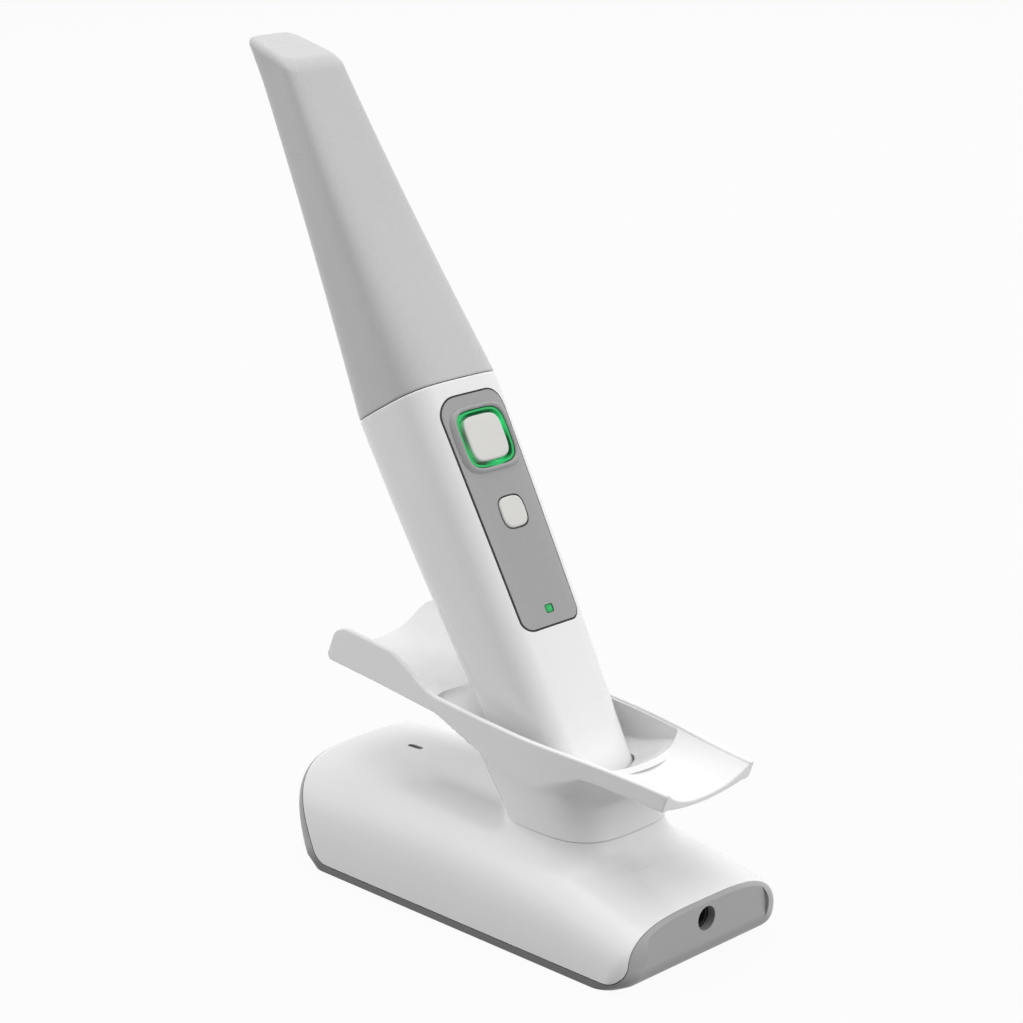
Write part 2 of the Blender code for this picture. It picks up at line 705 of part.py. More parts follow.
def make_nose():
    """The barrel that the sleeve slips over, on a flange that closes the handle's mouth."""
    flange_low = PARTING - FLANGE_THICK
    nose = loft("optical_nose", [nose_ring(PARTING + GAP), nose_ring(NOSE_TOP)], DARK, HANDPIECE)
    flange = handle_solid("nose_flange", flange_low, PARTING + FLANGE_THICK / 3, -HANDLE_WALL - GAP, -FRONT_WALL - GAP)
    cut(nose, flange, operation="UNION")
    tunnel = loft("nose_tunnel", [nose_ring(flange_low - BEYOND, NOSE_WALL), nose_ring(NOSE_TOP + BEYOND, NOSE_WALL)],
                  None, HANDPIECE)
    seal_low = PARTING + 2 * SEAL_HEIGHT
    seal_high = seal_low + SEAL_HEIGHT
    groove = loft("seal_groove", [nose_ring(seal_low - GAP, -BEYOND), nose_ring(seal_high + GAP, -BEYOND)],
                  None, HANDPIECE)
    core = loft("groove_core", [nose_ring(seal_low - BEYOND, SEAL_DEPTH), nose_ring(seal_high + BEYOND, SEAL_DEPTH)],
                None, HANDPIECE)
    cut(groove, core)
    cut(nose, tunnel, groove)
    seal = loft("nose_seal", [nose_ring(seal_low, -SEAL_DEPTH), nose_ring(seal_high, -SEAL_DEPTH)], RUBBER, HANDPIECE)
    cut(seal, loft("seal_bore", [nose_ring(seal_low - BEYOND, SEAL_DEPTH - GAP),
                                 nose_ring(seal_high + BEYOND, SEAL_DEPTH - GAP)], None, HANDPIECE))
    top = NOSE_TOP - GLASS_THICK
    loft("nose_window", [nose_ring(top, NOSE_WALL + GAP), nose_ring(NOSE_TOP, NOSE_WALL + GAP)], GLASS, HANDPIECE)


def make_sleeve():
    sleeve = sleeve_solid("tip_sleeve", PARTING + GAP, finish=SLEEVE_GREY)
    side = facing("y", (0, 0, 0))
    under = PARTING - 2 * BEYOND
    shape = plate("sleeve_face", face_outline(0, under), FAR, side, None, HANDPIECE)
    hollow = sleeve_solid("sleeve_hollow", PARTING - BEYOND, TIP_WALL)
    inner_shape = plate("hollow_face", face_outline(TIP_WALL, under - BEYOND), FAR, side, None, HANDPIECE)
    cut(hollow, inner_shape, operation="INTERSECT")
    cut(sleeve, shape, operation="INTERSECT")
    cut(sleeve, hollow)
    window_centre = TIP_FACE + WINDOW_LENGTH + TIP_WALL
    back = TIP_BACK_RISE - HANDLE_DEPTH_TOP
    window = box("scan_window", (4 * TIP_WALL, WINDOW_WIDTH, WINDOW_LENGTH), (back, 0, window_centre), None,
                 HANDPIECE)
    cut(sleeve, window)
    face_middle = (back - TIP_FRONT_DROP) / 2
    away = (TIP_WALL + GAP + MIRROR_THICK / 2) / math.sqrt(2)
    box(
        "tip_mirror", (MIRROR_LENGTH, MIRROR_WIDTH, MIRROR_THICK),
        (face_middle, 0, TIP_FACE - face_middle - 2 * away), MIRROR, HANDPIECE, (0, math.radians(45), 0),
    )


def make_end_cap():
    """A plug set into the shell's open lower end."""
    low = HANDLE_BOTTOM + CONTACT_THICK / 2
    cap = handle_solid("handle_end_cap", low, HANDLE_BOTTOM + END_CAP_LENGTH, -HANDLE_WALL - GAP,
                       -FRONT_WALL - GAP, WHITE)
    for number, across in enumerate(contact_places(), 1):
        well = turned(f"contact_well_{number}", disc_profile(CONTACT_RADIUS + GAP, -BEYOND, CONTACT_THICK + GAP),
                      (CONTACT_CENTRE, across, low), None, HANDPIECE)
        cut(cap, well)
        turned(f"contact_pad_{number}", disc_profile(CONTACT_RADIUS, 0, CONTACT_THICK),
               (CONTACT_CENTRE, across, low), GOLD, HANDPIECE)


def contact_places():
    return [CONTACT_PITCH * (step - 1.5) for step in range(4)]


# Cradle

def tray_floor(x):
    return TRAY_FLOOR + TRAY_TILT * x


def smooth_step(start, end, x):
    share = min(max((x - start) / (end - start), 0), 1)
    return share * share * (3 - 2 * share)


def wall_height(x):
    fall = smooth_step(WALL_STEP_START, WALL_STEP_END, x)
    rise = smooth_step(TRAY_MID, BOWL_RIM_RIGHT, x)
    return WALL_LEFT + (WALL_MID - WALL_LEFT) * fall + (WALL_RIGHT - WALL_MID) * rise


def tray_half(x):
    edge = TRAY_LEFT if x < TRAY_MID else TRAY_RIGHT
    share = min(abs(x - TRAY_MID) / abs(edge - TRAY_MID), 1)
    return TRAY_MID_HALF + (TRAY_END_HALF - TRAY_MID_HALF) * smooth_step(0.1, 1, share)


def tray_power(x):
    return blend(TRAY_POWER_LEFT, TRAY_POWER_RIGHT, smooth_step(WALL_STEP_START, WALL_STEP_END, x))


def trough_ring(x):
    """The trough's cross-section: its upper line, then the lower one a wall thickness away."""
    half = tray_half(x) - TRAY_THICK / 2
    floor = tray_floor(x)
    upper = []
    for step in range(HALF_AROUND + 1):
        share = math.sin(math.pi * (step / HALF_AROUND - 0.5))
        upper.append(Vector((x, half * share, floor + wall_height(x) * abs(share) ** tray_power(x))))
    lower = []
    for step, point in enumerate(upper):
        before = upper[max(step - 1, 0)]
        after = upper[min(step + 1, HALF_AROUND)]
        along = (after - before).normalized()
        lower.append(point + Vector((0, along.z, -along.y)) * TRAY_THICK)
    return upper + lower[::-1]


def bowl_limit():
    return TRAY_MID_HALF - TRAY_THICK - BOWL_INSET


def tilted_ring(row, limit=FAR, power=2.0):
    """A ring of the bowl: row gives x and z at its left and right ends, and its half width."""
    left, left_height, right, right_height, half_width = row
    half_length = (right - left) / 2
    tilt = (right_height - left_height) / (right - left)
    points = []
    for x, y in oval(half_length, half_width, power):
        side = max(-limit, min(limit, y))
        points.append(((left + right) / 2 + x, side, (left_height + right_height) / 2 + tilt * x))
    return points


def neck_rings():
    """The neck below the bowl, then the bowl's outside a wall away from its inside."""
    rings = [neck_ring(NECK_FOOT)]
    for *row, power in NECK_ROWS:
        rings.append(tilted_ring(row, power=power))
    outside = bowl_limit() + BOWL_SIDE_WALL
    grow = TRAY_THICK / math.sqrt(2)
    for left, left_height, right, right_height, half_width in BOWL_RINGS[2:]:
        wide = max(half_width + grow, outside)
        row = (left - grow, left_height - grow, right + grow, right_height - grow, wide)
        rings.append(tilted_ring(row, outside))
    left, _, right, _, half_width = BOWL_RINGS[-2]
    side_top = WALL_MID * NECK_SIDE_SHARE
    row = (left, tray_floor(left) + side_top, right, tray_floor(right) + side_top, half_width)
    rings.append(tilted_ring(row, outside))
    return rings


def neck_ring(height, longer=0.0, wider=0.0, power=NECK_POWER):
    """A level ring of the neck, its half length and half width grown by so much."""
    outline = oval(NECK_HALF_LENGTH + longer, NECK_HALF_WIDTH + wider, power)
    return [(NECK_CENTRE + x, y, height) for x, y in outline]


def make_tray():
    """The tray, its bowl, the neck and the cup are one moulding."""
    ends = (TRAY_LEFT - 2 * BEYOND, TRAY_RIGHT)
    stations = [blend(ends[0], WALL_STEP_START, step / 3) for step in range(3)]
    stations += [blend(WALL_STEP_START, WALL_STEP_END, step / 5) for step in range(5)]
    stations += [blend(WALL_STEP_END, ends[1], step / 8) for step in range(9)]
    tray = loft("cradle_tray", [trough_ring(x) for x in stations], WHITE)
    end_shape = rounded_outline([
        (TRAY_LEFT + WALL_SLANT, 0, 0),
        (TRAY_RIGHT + BEYOND, 0, 0),
        (TRAY_RIGHT + BEYOND, 2 * WALL_TOP_LEFT, 0),
        (0, 2 * WALL_TOP_LEFT, 0),
        (0, WALL_TOP_LEFT, 0),
        (TRAY_LEFT, WALL_TOP_LEFT, WALL_CORNER),
    ])
    cut(tray, plate("tray_ends", end_shape, FAR, facing("y", (0, 0, 0))), operation="INTERSECT")

    neck = loft("neck", neck_rings())
    cup_grow = CUP_CLEARANCE + CUP_WALL
    cup = handle_solid("cup", HANDLE_BOTTOM - GAP - CUP_WALL, HANDLE_BOTTOM + HEEL_LENGTH / 2, cup_grow)
    cut(tray, neck, cup, operation="UNION")

    rim = BOWL_RINGS[-1]
    above = (rim[0] - BEYOND / 4, rim[1] + BEYOND, rim[2] + BEYOND / 4, rim[3] + BEYOND, rim[4])
    bowl = loft("bowl", [tilted_ring(row, bowl_limit()) for row in (*BOWL_RINGS, above)])
    hole = handle_solid("cup_hollow", HANDLE_BOTTOM - GAP, 0, CUP_CLEARANCE)
    socket = box("block_hole", (BLOCK_DEPTH + 2 * GAP, BLOCK_WIDTH + 2 * GAP, 4 * BEYOND),
                 (CONTACT_CENTRE, 0, HANDLE_BOTTOM), None, HANDPIECE)
    cut(tray, bowl, hole, socket, solver="MANIFOLD")


def make_contacts():
    top = HANDLE_BOTTOM - 3 * GAP
    low = top - BLOCK_HEIGHT
    block = box("contact_block", (BLOCK_DEPTH, BLOCK_WIDTH, BLOCK_HEIGHT),
                (CONTACT_CENTRE, 0, (top + low) / 2), DARK, HANDPIECE)
    for number, across in enumerate(contact_places(), 1):
        guide = turned(f"pin_guide_{number}", disc_profile(PIN_RADIUS + PIN_CLEARANCE, -2 * BLOCK_HEIGHT, BEYOND),
                       (CONTACT_CENTRE, across, top), None, HANDPIECE)
        cut(block, guide)
        turned(f"charge_pin_{number}", disc_profile(PIN_RADIUS, -PIN_LENGTH, 0),
               (CONTACT_CENTRE, across, HANDLE_BOTTOM - GAP), GOLD, HANDPIECE)
    box("charge_board", (CHARGE_BOARD_DEPTH, CHARGE_BOARD_WIDTH, BOARD_THICK),
        (CONTACT_CENTRE + GAP, 0, low - GAP - BOARD_THICK / 2), BOARD_GREEN, HANDPIECE)


def base_top(x):
    share = x / BASE_SPAN
    return BASE_HEIGHT - BASE_FALL * share - BASE_CROWN * share * share


def base_end(height, end, lean):
    """How far the end face reaches at a height: it leans out and rolls under at the bottom."""
    slope = math.atan(lean)
    touch = BASE_HEEL_ROUND * math.tan((math.pi / 2 - slope) / 2) * math.cos(slope)
    if height >= touch:
        return end + lean * height
    centre = end + lean * BASE_HEEL_ROUND - BASE_HEEL_ROUND * math.hypot(1, lean)
    return centre + math.sqrt(BASE_HEEL_ROUND ** 2 - (max(height, 0) - BASE_HEEL_ROUND) ** 2)


def base_ring(place, inset, floor):
    """One arch of the base: place gives x for a height on the arch."""
    top = base_top(place(BASE_HEIGHT)) - inset
    points = []
    for step in range(HALF_AROUND + 1):
        angle = math.pi * step / HALF_AROUND
        z = floor + (top - floor) * abs(math.sin(angle)) ** (2 / BASE_POWER)
        y = (BASE_HALF_WIDTH - inset) * signed_power(math.cos(angle), 2 / BASE_POWER)
        points.append((place(z), y * (1 - BASE_SIDE_LEAN * z / top), z))
    return points


def base_solid(name, inset, floor, left, right, finish=None):
    """The base's arch from end to end; left and right give each end's reach, lean and edge radius."""
    places = []
    steps = 4
    for way, (end, lean, edge) in ((-1, left), (1, right)):
        group = []
        for step in range(steps + 1):
            angle = math.radians(90) * step / steps
            back = edge * (1 - math.sin(angle))
            narrow = inset + edge * (1 - math.cos(angle))
            group.append((lambda z, w=way, e=end, k=lean, b=back: w * (base_end(z, e, k) - b), narrow))
        places.append(group)
    middle = [(lambda z, x=x: x, inset) for x in evenly(-BASE_STRAIGHT, BASE_STRAIGHT, 5)]
    stations = places[0][::-1] + middle + places[1]
    bm = bmesh.new()
    rows = [[bm.verts.new(point) for point in base_ring(place, narrow, floor)] for place, narrow in stations]
    for low, high in zip(rows, rows[1:]):
        for a in range(HALF_AROUND):
            bm.faces.new((low[a], low[a + 1], high[a + 1], high[a]))
    for row in (rows[0], rows[-1]):
        for a in range(HALF_AROUND // 2):
            loop = [row[a], row[a + 1], row[HALF_AROUND - a - 1], row[HALF_AROUND - a]]
            bm.faces.new(list(dict.fromkeys(loop)))
    bm.faces.new([row[0] for row in rows] + [row[-1] for row in rows[::-1]])
    return from_bmesh(name, bm, finish)


def cover_outline(grow):
    """The cover's side view: a level lower edge, a slanted left one and an upright right one."""
    low = STRIP_HEIGHT - grow
    high = BASE_HEIGHT + COVER_ABOVE
    slant = (COVER_LEFT_HIGH - COVER_LEFT_LOW) / (BASE_HEIGHT - STRIP_HEIGHT)
    corner = COVER_CORNER + grow
    return rounded_outline([
        (COVER_LEFT_LOW - grow, low, corner),
        (COVER_RIGHT + grow, low, corner),
        (COVER_RIGHT + grow, high, 0),
        (COVER_LEFT_LOW - grow + slant * (high - low), high, 0),
    ])


def make_base():
    lean = (BASE_END, BASE_END_LEAN, BASE_END_ROUND)
    side = facing("y", (0, 0, 0))
    cover = base_solid("base_cover", 0, BASE_FOOT, lean, lean, WHITE)
    inner_left = (BASE_END - BASE_WALL, BASE_END_LEAN, BASE_END_ROUND - BASE_WALL)
    open_right = (BASE_END + 4 * BEYOND, 0, BASE_WALL)
    room = base_solid("cover_room", BASE_WALL, -BEYOND, inner_left, open_right)
    zone = plate("cover_zone", cover_outline(0), FAR, side)
    cut(cover, zone, operation="INTERSECT")
    collar = loft("collar", [
        neck_ring(COLLAR_TOP - drop, longer, wider, power) for drop, longer, wider, power in COLLAR_ROWS
    ])
    throat = loft("throat", [
        neck_ring(height, -COLLAR_LEDGE, -COLLAR_LEDGE)
        for height in (BASE_HEIGHT / 2, COLLAR_TOP + BEYOND)
    ])
    slot = base_slot("status_slot", GAP)
    cut(cover, room)
    cut(cover, collar, operation="UNION")
    cut(cover, throat, slot)
    base_slot("status_light", 0, DARK)

    frame = base_solid("base_frame", 0, BASE_FOOT, lean, lean, FRAME_GREY)
    well = base_solid("frame_room", BASE_WALL, BASE_WALL, inner_left, (BULKHEAD, 0, BASE_WALL / 2))
    core_left = (BASE_END - BASE_WALL - GAP, BASE_END_LEAN, BASE_END_ROUND - BASE_WALL)
    core = base_solid("cover_core", BASE_WALL + GAP, -BEYOND, core_left, open_right)
    shell_zone = plate("shell_zone", cover_outline(GAP), FAR, side)
    cut(shell_zone, core)
    recess_low = BASE_FOOT + STRIP_HEIGHT
    recess = plate(
        "end_recess",
        rounded_outline([
            (-RECESS_HALF, recess_low, RECESS_CORNER),
            (RECESS_HALF, recess_low, RECESS_CORNER),
            (RECESS_HALF, RECESS_TOP, RECESS_ROUND),
            (-RECESS_HALF, RECESS_TOP, RECESS_ROUND),
        ]),
        FAR, facing("x", (RECESS_FLOOR + FAR / 2, 0, 0)),
    )
    jack_hole = turned("jack_hole", disc_profile(JACK_HOLE, -4 * BEYOND, 4 * BEYOND),
                       (RECESS_FLOOR, 0, JACK_HEIGHT), None, None, (0, math.pi / 2, 0))
    pad_seat = plate("pad_seat", pad_outline(GAP), 2 * (PAD_THICK + GAP), facing("z", (0, 0, 0)))
    cut(frame, well, shell_zone, recess, jack_hole, pad_seat)

    plate("rubber_pad", pad_outline(0), PAD_THICK, facing("z", (0, 0, PAD_THICK / 2)), RUBBER)
    box("ballast_plate", (BALLAST_LENGTH, BALLAST_WIDTH, BALLAST_THICK),
        (-BEYOND, 0, BASE_WALL + GAP + BALLAST_THICK / 2), STEEL, edge=PLATE_EDGE)


def base_slot(name, grow, finish=None):
    top = base_top(SLOT_PLACE)
    outline = oval(SLOT_LENGTH / 2 + grow, SLOT_WIDTH / 2 + grow, SLOT_POWER, 0, LED_SIDES)
    low = top - BASE_WALL - BEYOND
    high = top + (BEYOND if grow else -GAP)
    return plate(name, outline, high - low, facing("z", (SLOT_PLACE, 0, (low + high) / 2)), finish)


def pad_outline(grow):
    x = PAD_LENGTH / 2 + grow
    y = PAD_WIDTH / 2 + grow
    corner = PAD_ROUND + grow
    return rounded_outline([(-x, -y, corner), (x, -y, corner), (x, y, corner), (-x, y, corner)])


def make_jack():
    front = BULKHEAD - GAP
    jack = box("power_jack", (JACK_LENGTH, JACK_SIDE, JACK_SIDE), (front - JACK_LENGTH / 2, 0, JACK_HEIGHT), DARK)
    bore = turned("jack_bore", disc_profile(JACK_BORE, -JACK_DEPTH, BEYOND), (front, 0, JACK_HEIGHT), None, None,
                  (0, math.pi / 2, 0))
    cut(jack, bore)
    turned("jack_pin", disc_profile(JACK_PIN, GAP - JACK_DEPTH, -JACK_PIN_SHORT), (front, 0, JACK_HEIGHT), STEEL,
           None, (0, math.pi / 2, 0))


make_handle()
make_panel()
make_handle_inside()
make_nose()
make_sleeve()
make_end_cap()
make_tray()
make_contacts()
make_base()
make_jack()
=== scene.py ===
"""The looks of a wireless intraoral scanner that stands in its charging cradle.

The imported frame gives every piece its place. The mouldings that show are drawn here again with fine, smooth
surfaces and stand for the plain solids, and each finish is a procedural material on Object coordinates.
"""

import json
import math

import bpy
from mathutils import Matrix, Vector

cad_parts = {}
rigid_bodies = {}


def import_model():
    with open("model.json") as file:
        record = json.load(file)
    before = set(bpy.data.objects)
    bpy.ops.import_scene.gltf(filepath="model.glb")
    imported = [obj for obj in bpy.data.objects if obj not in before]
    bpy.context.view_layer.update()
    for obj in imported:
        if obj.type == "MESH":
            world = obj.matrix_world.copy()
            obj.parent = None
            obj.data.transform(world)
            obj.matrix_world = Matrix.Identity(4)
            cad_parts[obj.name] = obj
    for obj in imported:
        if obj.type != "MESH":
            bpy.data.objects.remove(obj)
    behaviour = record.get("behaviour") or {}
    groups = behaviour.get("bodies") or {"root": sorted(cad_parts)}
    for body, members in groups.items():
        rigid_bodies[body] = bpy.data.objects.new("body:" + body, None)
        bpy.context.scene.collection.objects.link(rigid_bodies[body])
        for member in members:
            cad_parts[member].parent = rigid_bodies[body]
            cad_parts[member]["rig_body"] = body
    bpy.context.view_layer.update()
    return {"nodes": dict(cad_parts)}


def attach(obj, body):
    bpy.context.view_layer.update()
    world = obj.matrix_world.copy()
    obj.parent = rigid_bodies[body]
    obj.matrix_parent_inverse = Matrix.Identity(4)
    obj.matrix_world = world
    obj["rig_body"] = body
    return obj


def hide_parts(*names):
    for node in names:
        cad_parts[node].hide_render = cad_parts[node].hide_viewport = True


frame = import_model()
nodes = frame["nodes"]
scene = bpy.context.scene

MM = 0.001
GAP = 0.3 * MM
BEYOND = 4 * MM
FAR = 60 * MM
WELD = 0.0005 * MM

# Handpiece: its own frame leans with it and starts from the scan button's centre on the front surface
LEAN = math.radians(29.2)
SEAT_PLACE = (37.769 * MM, 0, 46.4035 * MM)
PARTING = 20.7 * MM
HANDLE_LENGTH = 142.7 * MM
HANDLE_BOTTOM = PARTING - HANDLE_LENGTH
HANDLE_DEPTH_LOW = 32.3 * MM
HANDLE_DEPTH_TOP = 41.2 * MM
HANDLE_WIDTH_LOW = 30.6 * MM
HANDLE_WIDTH_TOP = 40 * MM
HANDLE_POWER = 3.53
HANDLE_TAPER = 0.074
HANDLE_BOW_DEPTH = 1.2 * MM
HANDLE_BOW_WIDTH = 2.2 * MM
HANDLE_WALL = 2.4 * MM
FRONT_WALL = 8.5 * MM
HEEL_LENGTH = 22 * MM
HEEL_CUT = 5.5 * MM
END_ROUND = 1.6 * MM

# Tip sleeve
TIP_LENGTH = 138.5 * MM
TIP_FRONT_DROP = 13.2 * MM
TIP_FRONT_HOLLOW = 2.1 * MM
TIP_BACK_RISE = 9 * MM
TIP_BACK_BOW = 1.6 * MM
TIP_WIDTH = 23.6 * MM
TIP_POWER = 6
TIP_TAPER = 0.12
TIP_WALL = 1.6 * MM
TIP_FACE = 124.2 * MM
TIP_EDGE_ROUND = 2.6 * MM
WINDOW_LENGTH = 16 * MM
WINDOW_WIDTH = 16 * MM

# Control panel and its keys. The rows are (reach, height) steps across the lit ring and the status lens
PANEL_TOP = 15 * MM
PANEL_LENGTH = 79 * MM
PANEL_WIDTH_TOP = 28 * MM
PANEL_WIDTH_LOW = 24.6 * MM
PANEL_ROUND_TOP = 6.5 * MM
PANEL_ROUND_LOW = 4 * MM
PANEL_DEPTH = 4.2 * MM
RING_LENGTH = 19 * MM
RING_WIDTH = 20.6 * MM
RING_SINK = 1.9 * MM
CAP_LENGTH = 15.4 * MM
CAP_WIDTH = 16.2 * MM
CAP_PROUD = 0.9 * MM
CAP_FLANGE = 1.2 * MM
FLANGE_HEIGHT = 0.8 * MM
MODE_PLACE = -25.6 * MM
MODE_LENGTH = 10.4 * MM
MODE_WIDTH = 10.6 * MM
MODE_PROUD = 0.6 * MM
KEY_EDGE = 0.7 * MM
SEAL_WIDTH = 0.6 * MM
SEAL_SINK = 0.25 * MM
SEAL_FIT = GAP / 6
MODE_SEAL = 0.5 * MM
KEY_CROWN = 0.08 * MM
KEY_CROWN_ROWS = (2, 4)
LED_PLACE = PANEL_TOP - PANEL_LENGTH + 5.2 * MM
LED_LENGTH = 2.6 * MM
LED_WIDTH = 3.4 * MM
LED_POWER = 5
PANEL_PROUD = 0.1 * MM
LIP_PROUD = 1 * MM
LIP_REACH = 2.3 * MM
LIP_CREST = 0.42
LIP_ROOT = 0.7 * MM
LIP_BURIED = 2 * MM
LIP_INNER_TURN = 62
RING_ROWS = [
    (0, 0.1 * MM), (-0.15 * MM, 0.3 * MM), (-0.5 * MM, 0.25 * MM), (-0.75 * MM, 0),
    (-0.9 * MM, -RING_SINK + 0.4 * MM), (-1.2 * MM, -RING_SINK),
]
LENS_ROWS = [(0, -0.35 * MM), (-0.12 * MM, -0.22 * MM), (-0.35 * MM, -0.15 * MM), (-0.8 * MM, -0.1 * MM)]
RING_POWER = 4.2
MODE_POWER = 3.2

# Cradle tray, bowl, neck and cup
TRAY_LEFT = -75.8 * MM
TRAY_RIGHT = 76.9 * MM
TRAY_TILT = -0.083
TRAY_FLOOR = 64.77 * MM
TRAY_THICK = 2.2 * MM
TRAY_LEFT_HALF = 22.2 * MM
TRAY_RIGHT_HALF = 20.6 * MM
TRAY_MID_HALF = 24.9 * MM
TRAY_MID = 9 * MM
TRAY_LOFT_LEFT = -58 * MM
TRAY_LOFT_RIGHT = 66 * MM
TRAY_HALF_START = 0.1
TRAY_POWER_LEFT = 3
TRAY_POWER_RIGHT = 2.5
LIP_THICK = 2 * MM
LIP_EDGE = 0.7 * MM
LIP_FLAT = 0.02 * MM
SKIRT_EDGE = 1.2 * MM
SKIRT_EDGE_OVER_NECK = 0.05 * MM
SKIRT_FADE = 8 * MM
SKIRT_THICK = 3.4 * MM
TROUGH_DIP = 2.2 * MM
END_EDGE = 0.7 * MM
LEFT_END_SLOPE = 0.42
LEFT_END_UNDERCUT = 0.5
LEFT_END_CORNER = 4.2 * MM
LEFT_END_BACK = 6.5 * MM
RIGHT_END_SLOPE = 0.36
WALL_LEFT = 11.9 * MM
WALL_MID = 3.7 * MM
WALL_RIGHT = 4.4 * MM
WALL_STEP_START = -46 * MM
WALL_STEP_END = -21 * MM
BOWL_RIM_RIGHT = 49.6 * MM
BOWL_SIDE_WALL = 2.35 * MM
BOWL_INSET = 0.2 * MM
# Bowl rings from the bottom up: left x and z, right x and z, half width. Neck rows add a power
BOWL_RINGS = [
    (-2 * MM, 48 * MM, 30 * MM, 46 * MM, 14 * MM),
    (-7 * MM, 52.5 * MM, 33.5 * MM, 49.5 * MM, 18.5 * MM),
    (-9 * MM, 56 * MM, 36 * MM, 51.8 * MM, 21 * MM),
    (-13 * MM, 60.2 * MM, 40.5 * MM, 54.9 * MM, 26 * MM),
    (-21.5 * MM, 64.6 * MM, 45.5 * MM, 58.3 * MM, 33.5 * MM),
    (-28.5 * MM, 67.15 * MM, BOWL_RIM_RIGHT, 60.65 * MM, 39 * MM),
]
BOWL_OUTSIDE = [(4.5 * MM, 2.9), (1.5 * MM, 2.5), (0, 2.2), (0, 2)]
NECK_ROWS = [
    (-1.8 * MM, 41.5 * MM, 44.5 * MM, 41.5 * MM, 23.6 * MM, 2.9),
    (-6.4 * MM, 47.5 * MM, 44 * MM, 46 * MM, 24 * MM, 2.9),
]
NECK_FOOT = 36.3 * MM
NECK_CENTRE = 24 * MM
NECK_HALF_LENGTH = 22 * MM
NECK_HALF_WIDTH = 23.3 * MM
NECK_POWER = 3
NECK_SIDE_SHARE = 0.6
SOCKET_DEPTH = 4 * BEYOND
CUP_CLEARANCE = 0.8 * MM
CUP_WALL = 2 * MM
CUP_INSET = 0.6 * MM
CONTACT_CENTRE = -16 * MM
BLOCK_DEPTH = 12 * MM
BLOCK_WIDTH = 22 * MM

# Base, with its cover, end walls, collar, slot, inlet and pad
BASE_HALF_WIDTH = 38.35 * MM
BASE_HEIGHT = 35.14 * MM
BASE_FALL = 4.29 * MM
BASE_CROWN = 2.65 * MM
BASE_SPAN = 50 * MM
BASE_STRAIGHT = 52 * MM
BASE_POWER = 3.52
BASE_SIDE_LEAN = 0.039
BASE_END = 73.45 * MM
BASE_END_LEAN = 0.376
BASE_END_ROUND = 7.7 * MM
BASE_HEEL_ROUND = 8.87 * MM
BASE_FOOT = 0.4 * MM
BASE_WALL = 2.5 * MM
STRIP_HEIGHT = 3.15 * MM
COVER_RIGHT = 74.2 * MM
COVER_LEFT_LOW = -64.5 * MM
COVER_LEFT_HIGH = -81.6 * MM
COVER_CORNER = 7 * MM
COVER_ABOVE = 8 * MM
RECESS_FLOOR = 75.9 * MM
RECESS_HALF = 29 * MM
RECESS_TOP = 21 * MM
RECESS_ROUND = 9 * MM
RECESS_CORNER = 1 * MM
BULKHEAD = 73 * MM
COLLAR_TOP = 36 * MM
COLLAR_REACH = 8 * MM
COLLAR_SIDE_SHARE = 0.8
COLLAR_POWER = 2.6
COLLAR_FOOT_SHARE = 0.85
COLLAR_LEDGE = 2.4 * MM
COLLAR_EDGE = 0.25 * MM
SLOT_PLACE = -56 * MM
SLOT_LENGTH = 6 * MM
SLOT_WIDTH = 1.8 * MM
SLOT_POWER = 4
JACK_HEIGHT = 15.5 * MM
JACK_HOLE = 4.05 * MM
PAD_LENGTH = 118 * MM
PAD_WIDTH = 56 * MM
PAD_THICK = 1.4 * MM
PAD_ROUND = 12 * MM

# Camera and lamps: place, size and watts of each softbox
CAMERA_PLACE = (0.613536, -0.632073, 0.400)
CAMERA_PITCH = 90 - 16.896
CAMERA_TURN = 44.611
CAMERA_LENS = 101.5
SENSOR_WIDTH = 36
AIM = Vector((0, 0, 0.12))
SOFTBOXES = {
    "softbox_left": ((-1.5, -1.3, 1.0), (0.9, 1.6), 23),
    "softbox_right": ((2.1, 0.45, 1.0), (0.9, 1.6), 28),
    "softbox_top": ((-0.1, 0.1, 2.0), (1.8, 1.8), 29),
    "softbox_back": ((-1.2, 1.7, 1.2), (1.6, 1.2), 20),
}
FLOOR_RADIUS = 9
FLOOR_GREY = 0.35
FLOOR_WHITE_SHARE = 0.95
WORLD_GREY = 0.18

AROUND = 144
HALF_AROUND = 64
ARC_STEPS = 10

UP_THE_HANDLE = Vector((-math.sin(LEAN), 0, math.cos(LEAN)))
HANDPIECE = (Matrix.Translation(Vector(SEAT_PLACE) - HANDLE_BOTTOM * UP_THE_HANDLE)
             @ Matrix.Rotation(-LEAN, 4, "Y"))
UPRIGHT = Matrix.Identity(4)


# Modelling helpers

def select_only(obj):
    bpy.ops.object.select_all(action="DESELECT")
    obj.select_set(True)
    bpy.context.view_layer.objects.active = obj


def apply_modifier(obj, kind, **values):
    select_only(obj)
    step = obj.modifiers.new(kind.lower(), kind)
    for name, value in values.items():
        setattr(step, name, value)
    bpy.ops.object.modifier_apply(modifier=step.name)


